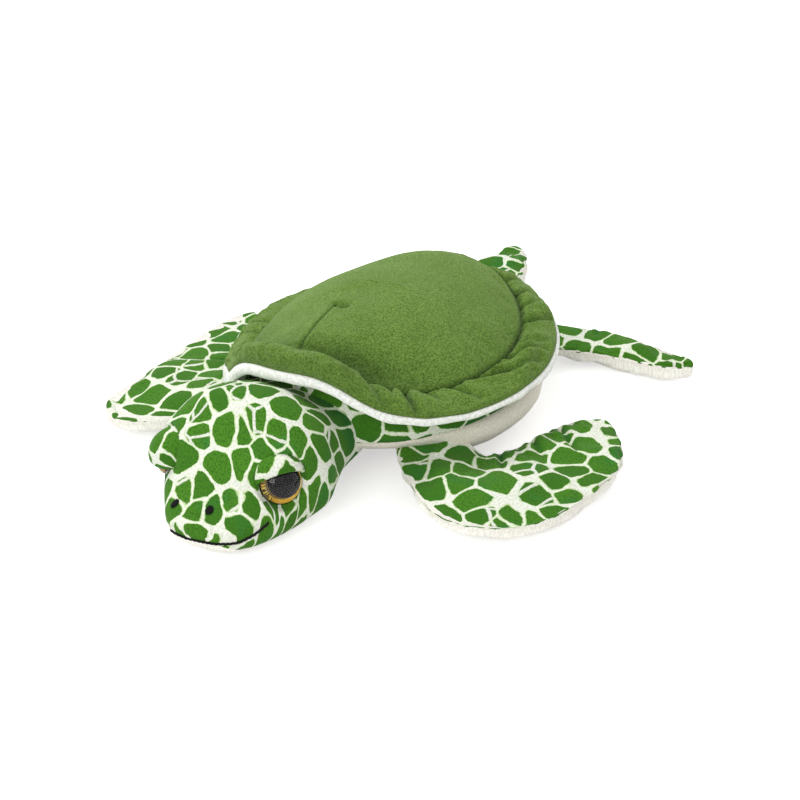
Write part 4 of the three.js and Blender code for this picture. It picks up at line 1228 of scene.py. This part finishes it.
chinTurn = head["chinAngle"] * degree
headTop, headPrint, headShading = headShape(np.linspace(-chinTurn, math.pi + chinTurn, head["columns"]))
headChin, chinPrint, chinShading = headShape(np.linspace(math.pi + chinTurn, 2 * math.pi - chinTurn, 90))
for name, grid, place, creaseShading, material, slot, replaced in (
        ("headTop", headTop, headPrint, headShading, headPlush, "printed_plush", ("head_cover", "head_filling")),
        ("headChin", headChin, chinPrint, chinShading, litCream, "belly_plush", ("chin_cover",))):
    piece = addPiece(name, grid, material, None, replaced=replaced, printPlace=place, paintedShade=creaseShading)
    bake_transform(piece)
print("head ready")


# Eyes

def lathe(profile, segments):
    # rings round the axis, from (radius, height) pairs
    turn = ringTurns(segments)
    profile = np.asarray(profile, float)
    return np.stack([profile[:, None, 0] * np.cos(turn), profile[:, None, 0] * np.sin(turn),
                     profile[:, None, 1] + 0 * turn], -1)


def inEye(local, eyeAxes):
    origin, across, over, outwards = eyeAxes
    return origin + local[..., :1] * across + local[..., 1:2] * over + local[..., 2:] * outwards


def ballRadius():
    # the ball that the dome of the lens is cut from
    return (eye["radius"] ** 2 + eye["dome"] ** 2) / (2 * eye["dome"])


def lensProfile():
    radius, height = eye["radius"], eye["dome"]
    ball = ballRadius()
    tilt = np.linspace(math.asin(radius / ball), 0.02, 26)
    outside = [(ball * math.sin(t), height - ball + ball * math.cos(t)) for t in tilt]
    return [(0.3, 0.0), (radius - 0.4, 0.0), (radius - 0.1, 0.1)] + outside


def addEye(side):
    word = "left" if side > 0 else "right"
    axes = eyeFrame(side)
    addPiece(f"{word}EyeLens", inEye(lathe(lensProfile(), 64), axes), clearLens, "head",
             replaced=(f"{word}_eye_lens",))
    shift = np.array([eye["pupilShift"][0] * side, eye["pupilShift"][1], 0])
    floor = eye["irisFloor"]
    ring = lathe([(4.0, floor - 0.6), (9.7, floor - 0.6), (9.8, floor - 0.1), (9.6, floor), (8.6, floor - 0.05),
                  (7.6, floor - 0.1), (6.8, floor - 0.15), (5.5, floor - 0.2), (4.0, floor - 0.2)], 96)
    turn = np.arctan2(ring[..., 1], -side * ring[..., 0])  # 0 towards the snout
    spread = np.hypot(ring[..., 0], ring[..., 1])
    place = np.stack([turn * 8.5, spread, 0 * turn], -1)
    addPiece(f"{word}EyeIris", inEye(ring, axes), irisPaint, "head", replaced=(f"{word}_eye_iris",),
             printPlace=place, wrapRows=True)
    disc = lathe([(0.4, floor - 0.12), (eye["pupil"] - 0.3, floor - 0.12), (eye["pupil"], floor),
                  (eye["pupil"] - 0.25, floor + 0.16), (0.4, floor + 0.2)], 64)
    addPiece(f"{word}EyePupil", inEye(disc + shift, axes), pupilBlack, "head",
             replaced=(f"{word}_eye_pupil",))
    for part, material in (("eye_back", eyeBlack), ("eye_washer", washerWhite)):
        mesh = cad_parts[f"{word}_{part}"].data
        mesh.materials.clear()
        mesh.materials.append(material)
    addLid(side, word, axes)


def addLid(side, word, axes):
    # a hood of cloth whose ends run to the corners of the eye
    lidEdge, lidThick = (eye[key][0 if side > 0 else 1] for key in ("lidEdge", "lidThick"))
    ball = ballRadius()
    centre = eye["dome"] - ball
    inner = ball + eye["lidOver"]
    fold = np.linspace(0, 1, 46)
    round_ = np.linspace(0, math.pi, 9)[1:-1]
    edge = np.stack([lidEdge - eye["lidHem"] * np.sin(round_), 0.5 - 0.5 * np.cos(round_)], -1)
    outside = np.stack([mix(lidEdge, eye["lidBack"], fold), 1 + eye["lidCrown"] * np.sin(math.pi * fold ** 0.7)], -1)
    inside = np.stack([mix(eye["lidBack"], lidEdge, fold), 0 * fold], -1)
    section = np.vstack([edge, outside, inside[:-1]])
    reach = np.linspace(-eye["lidReach"], eye["lidReach"], 72) * degree
    taper = np.cos(reach) ** 0.5
    tilt = section[:, None, 0] * degree
    radius = inner + lidThick * section[:, None, 1] * mix(eye["lidEnds"], 1, taper[None, :])
    lidTilt = eye["lidTilt"] * degree * side
    flat = radius * np.sin(reach)[None, :]
    rise = radius * np.cos(reach)[None, :] * np.sin(tilt)
    out = centre + radius * np.cos(reach)[None, :] * np.cos(tilt)
    local = np.stack([flat * math.cos(lidTilt) + rise * math.sin(lidTilt),
                      -flat * math.sin(lidTilt) + rise * math.cos(lidTilt), out + 0 * flat], -1)
    grid = inEye(local, axes)
    grid = grid + eye["lidLumps"] * softNoise(grid, 5, 71)[..., None] * axes[3]
    place = np.stack(np.broadcast_arrays(reach[None, :] * inner * 1.1 + 7 * side, section[:, None, 0] * 0.24, 0), -1)
    addPiece(f"{word}Eyelid", np.swapaxes(grid, 0, 1), lidPlush if side > 0 else headPlush, "head",
             replaced=(f"{word}_eyelid",), printPlace=np.swapaxes(place, 0, 1))


for side in (1, -1):
    addEye(side)
print("eyes ready")


# Stitched nostrils and mouth

stitches = {
    "nostrilSpacing": 19, "nostrilSetback": 9.5, "nostrilShift": -2.2, "nostrilLong": 4.6, "nostrilWide": 3.9,
    "threads": 9, "threadRadius": 0.3,
    "mouthRadius": 0.62, "mouthStitch": 3.0, "mouthOverlap": 1.25, "mouthPoints": 240, "mouthCentre": 125,
    "mouthFar": -15, "mouthNear": 58,  # degrees round the snout
    "mouthFront": 10.6, "mouthRise": 8.0,
}


def skinFinder():
    from mathutils.bvhtree import BVHTree
    points, faces = [], []
    for name in ("headTop", "headChin"):
        mesh = bpy.data.objects[name].data
        faces += [[k + len(points) for k in face.vertices] for face in mesh.polygons]
        points += [vertex.co / mm for vertex in mesh.vertices]
    return BVHTree.FromPolygons(points, faces)


skin = skinFinder()


def onSkin(start, way):
    hit, normal, _, _ = skin.ray_cast(Vector(turned(start)), Vector(turnedWay(way)))
    normal = np.array(normal)
    return np.array(hit), normal * np.sign(normal @ turnedWay(way) + 1e-9)


def joinTubes(tubes):
    points, faces = [], []
    for rings in tubes:
        rows, columns = rings.shape[:2]
        base = sum(len(part) for part in points)
        faces += [tuple(base + k for k in face) for face in gridFaces(rows, columns, True)]
        ends = np.stack([rings[0].mean(axis=0), rings[-1].mean(axis=0)])
        points += [rings.reshape(-1, 3), ends]
        for which, row in ((0, 0), (1, rows - 1)):
            faces += capFaces(row, columns, base + rows * columns + which, base)
    return np.vstack(points), faces


def stitchAlong(path, radius, lift):
    # one stitch: a short thread whose ends dive into the cloth
    share = np.linspace(0, 1, len(path))
    bow = np.sin(math.pi * share) ** 0.5
    return tube(path + lift * (bow[:, None] - 0.5), radius * (0.55 + 0.45 * bow), sides=7)


def addMouth():
    path, normals = [], []
    for swing in np.linspace(stitches["mouthFar"], stitches["mouthNear"], stitches["mouthPoints"]):
        turn = swing * degree
        height = stitches["mouthFront"] + stitches["mouthRise"] * abs(swing / stitches["mouthNear"]) ** 2.4
        place, normal = onSkin((0, -stitches["mouthCentre"], height), (math.sin(turn), -math.cos(turn), 0))
        path.append(place)
        normals.append(normal)
    path, normals = np.array(path), np.array(normals)
    length = np.concatenate([[0], np.cumsum(np.linalg.norm(np.diff(path, axis=0), axis=1))])
    number = int(length[-1] / stitches["mouthStitch"] * stitches["mouthOverlap"])
    tubes = []
    for k in range(number):
        first = k / number * (length[-1] - stitches["mouthStitch"])
        at = np.linspace(first, first + stitches["mouthStitch"] * 1.1, 8)
        run = np.stack([np.interp(at, length, path[:, axis]) for axis in range(3)], -1)
        out = np.stack([np.interp(at, length, normals[:, axis]) for axis in range(3)], -1)
        slant = np.cross(out, np.gradient(run, axis=0))
        slant /= np.linalg.norm(slant, axis=1, keepdims=True)
        run = run + slant * np.linspace(-0.22, 0.22, 8)[:, None]
        tubes.append(stitchAlong(run, stitches["mouthRadius"], out * stitches["mouthRadius"] * 0.9))
    points, faces = joinTubes(tubes)
    pieceFrom("mouthStitches", points, faces, blackThread, "head", ("mouth_stitching",))


def addNostril(side):
    word = "left" if side > 0 else "right"
    middle, normal = onSkin(
        (side * stitches["nostrilSpacing"] / 2 + stitches["nostrilShift"], stitches["nostrilSetback"] - 166, 120),
        (0, 0, -1))
    normal = -normal if normal[2] < 0 else normal
    long_ = turnedWay(np.array([0.35 * side, -1.0, 0]))
    long_ = long_ - normal * (long_ @ normal)
    long_ /= np.linalg.norm(long_)
    wide = np.cross(normal, long_)
    tubes = []
    for k in range(stitches["threads"]):
        offset = (2 * (k + 0.5) / stitches["threads"] - 1)
        reach = math.sqrt(1 - offset ** 2) * stitches["nostrilWide"] / 2
        at = np.linspace(-reach, reach, 9)[:, None]
        row = middle + long_ * offset * stitches["nostrilLong"] / 2 + wide * at
        arch = (1 - (at / max(reach, 0.1)) ** 2) * 0.55
        tubes.append(tube(row + normal * arch, np.full(9, stitches["threadRadius"]), sides=7))
    points, faces = joinTubes(tubes)
    pieceFrom(f"{word}NostrilStitches", points, faces, blackThread, "head",
              (f"{word}_nostril_stitching",))


addMouth()
for side in (1, -1):
    addNostril(side)
print("face ready")
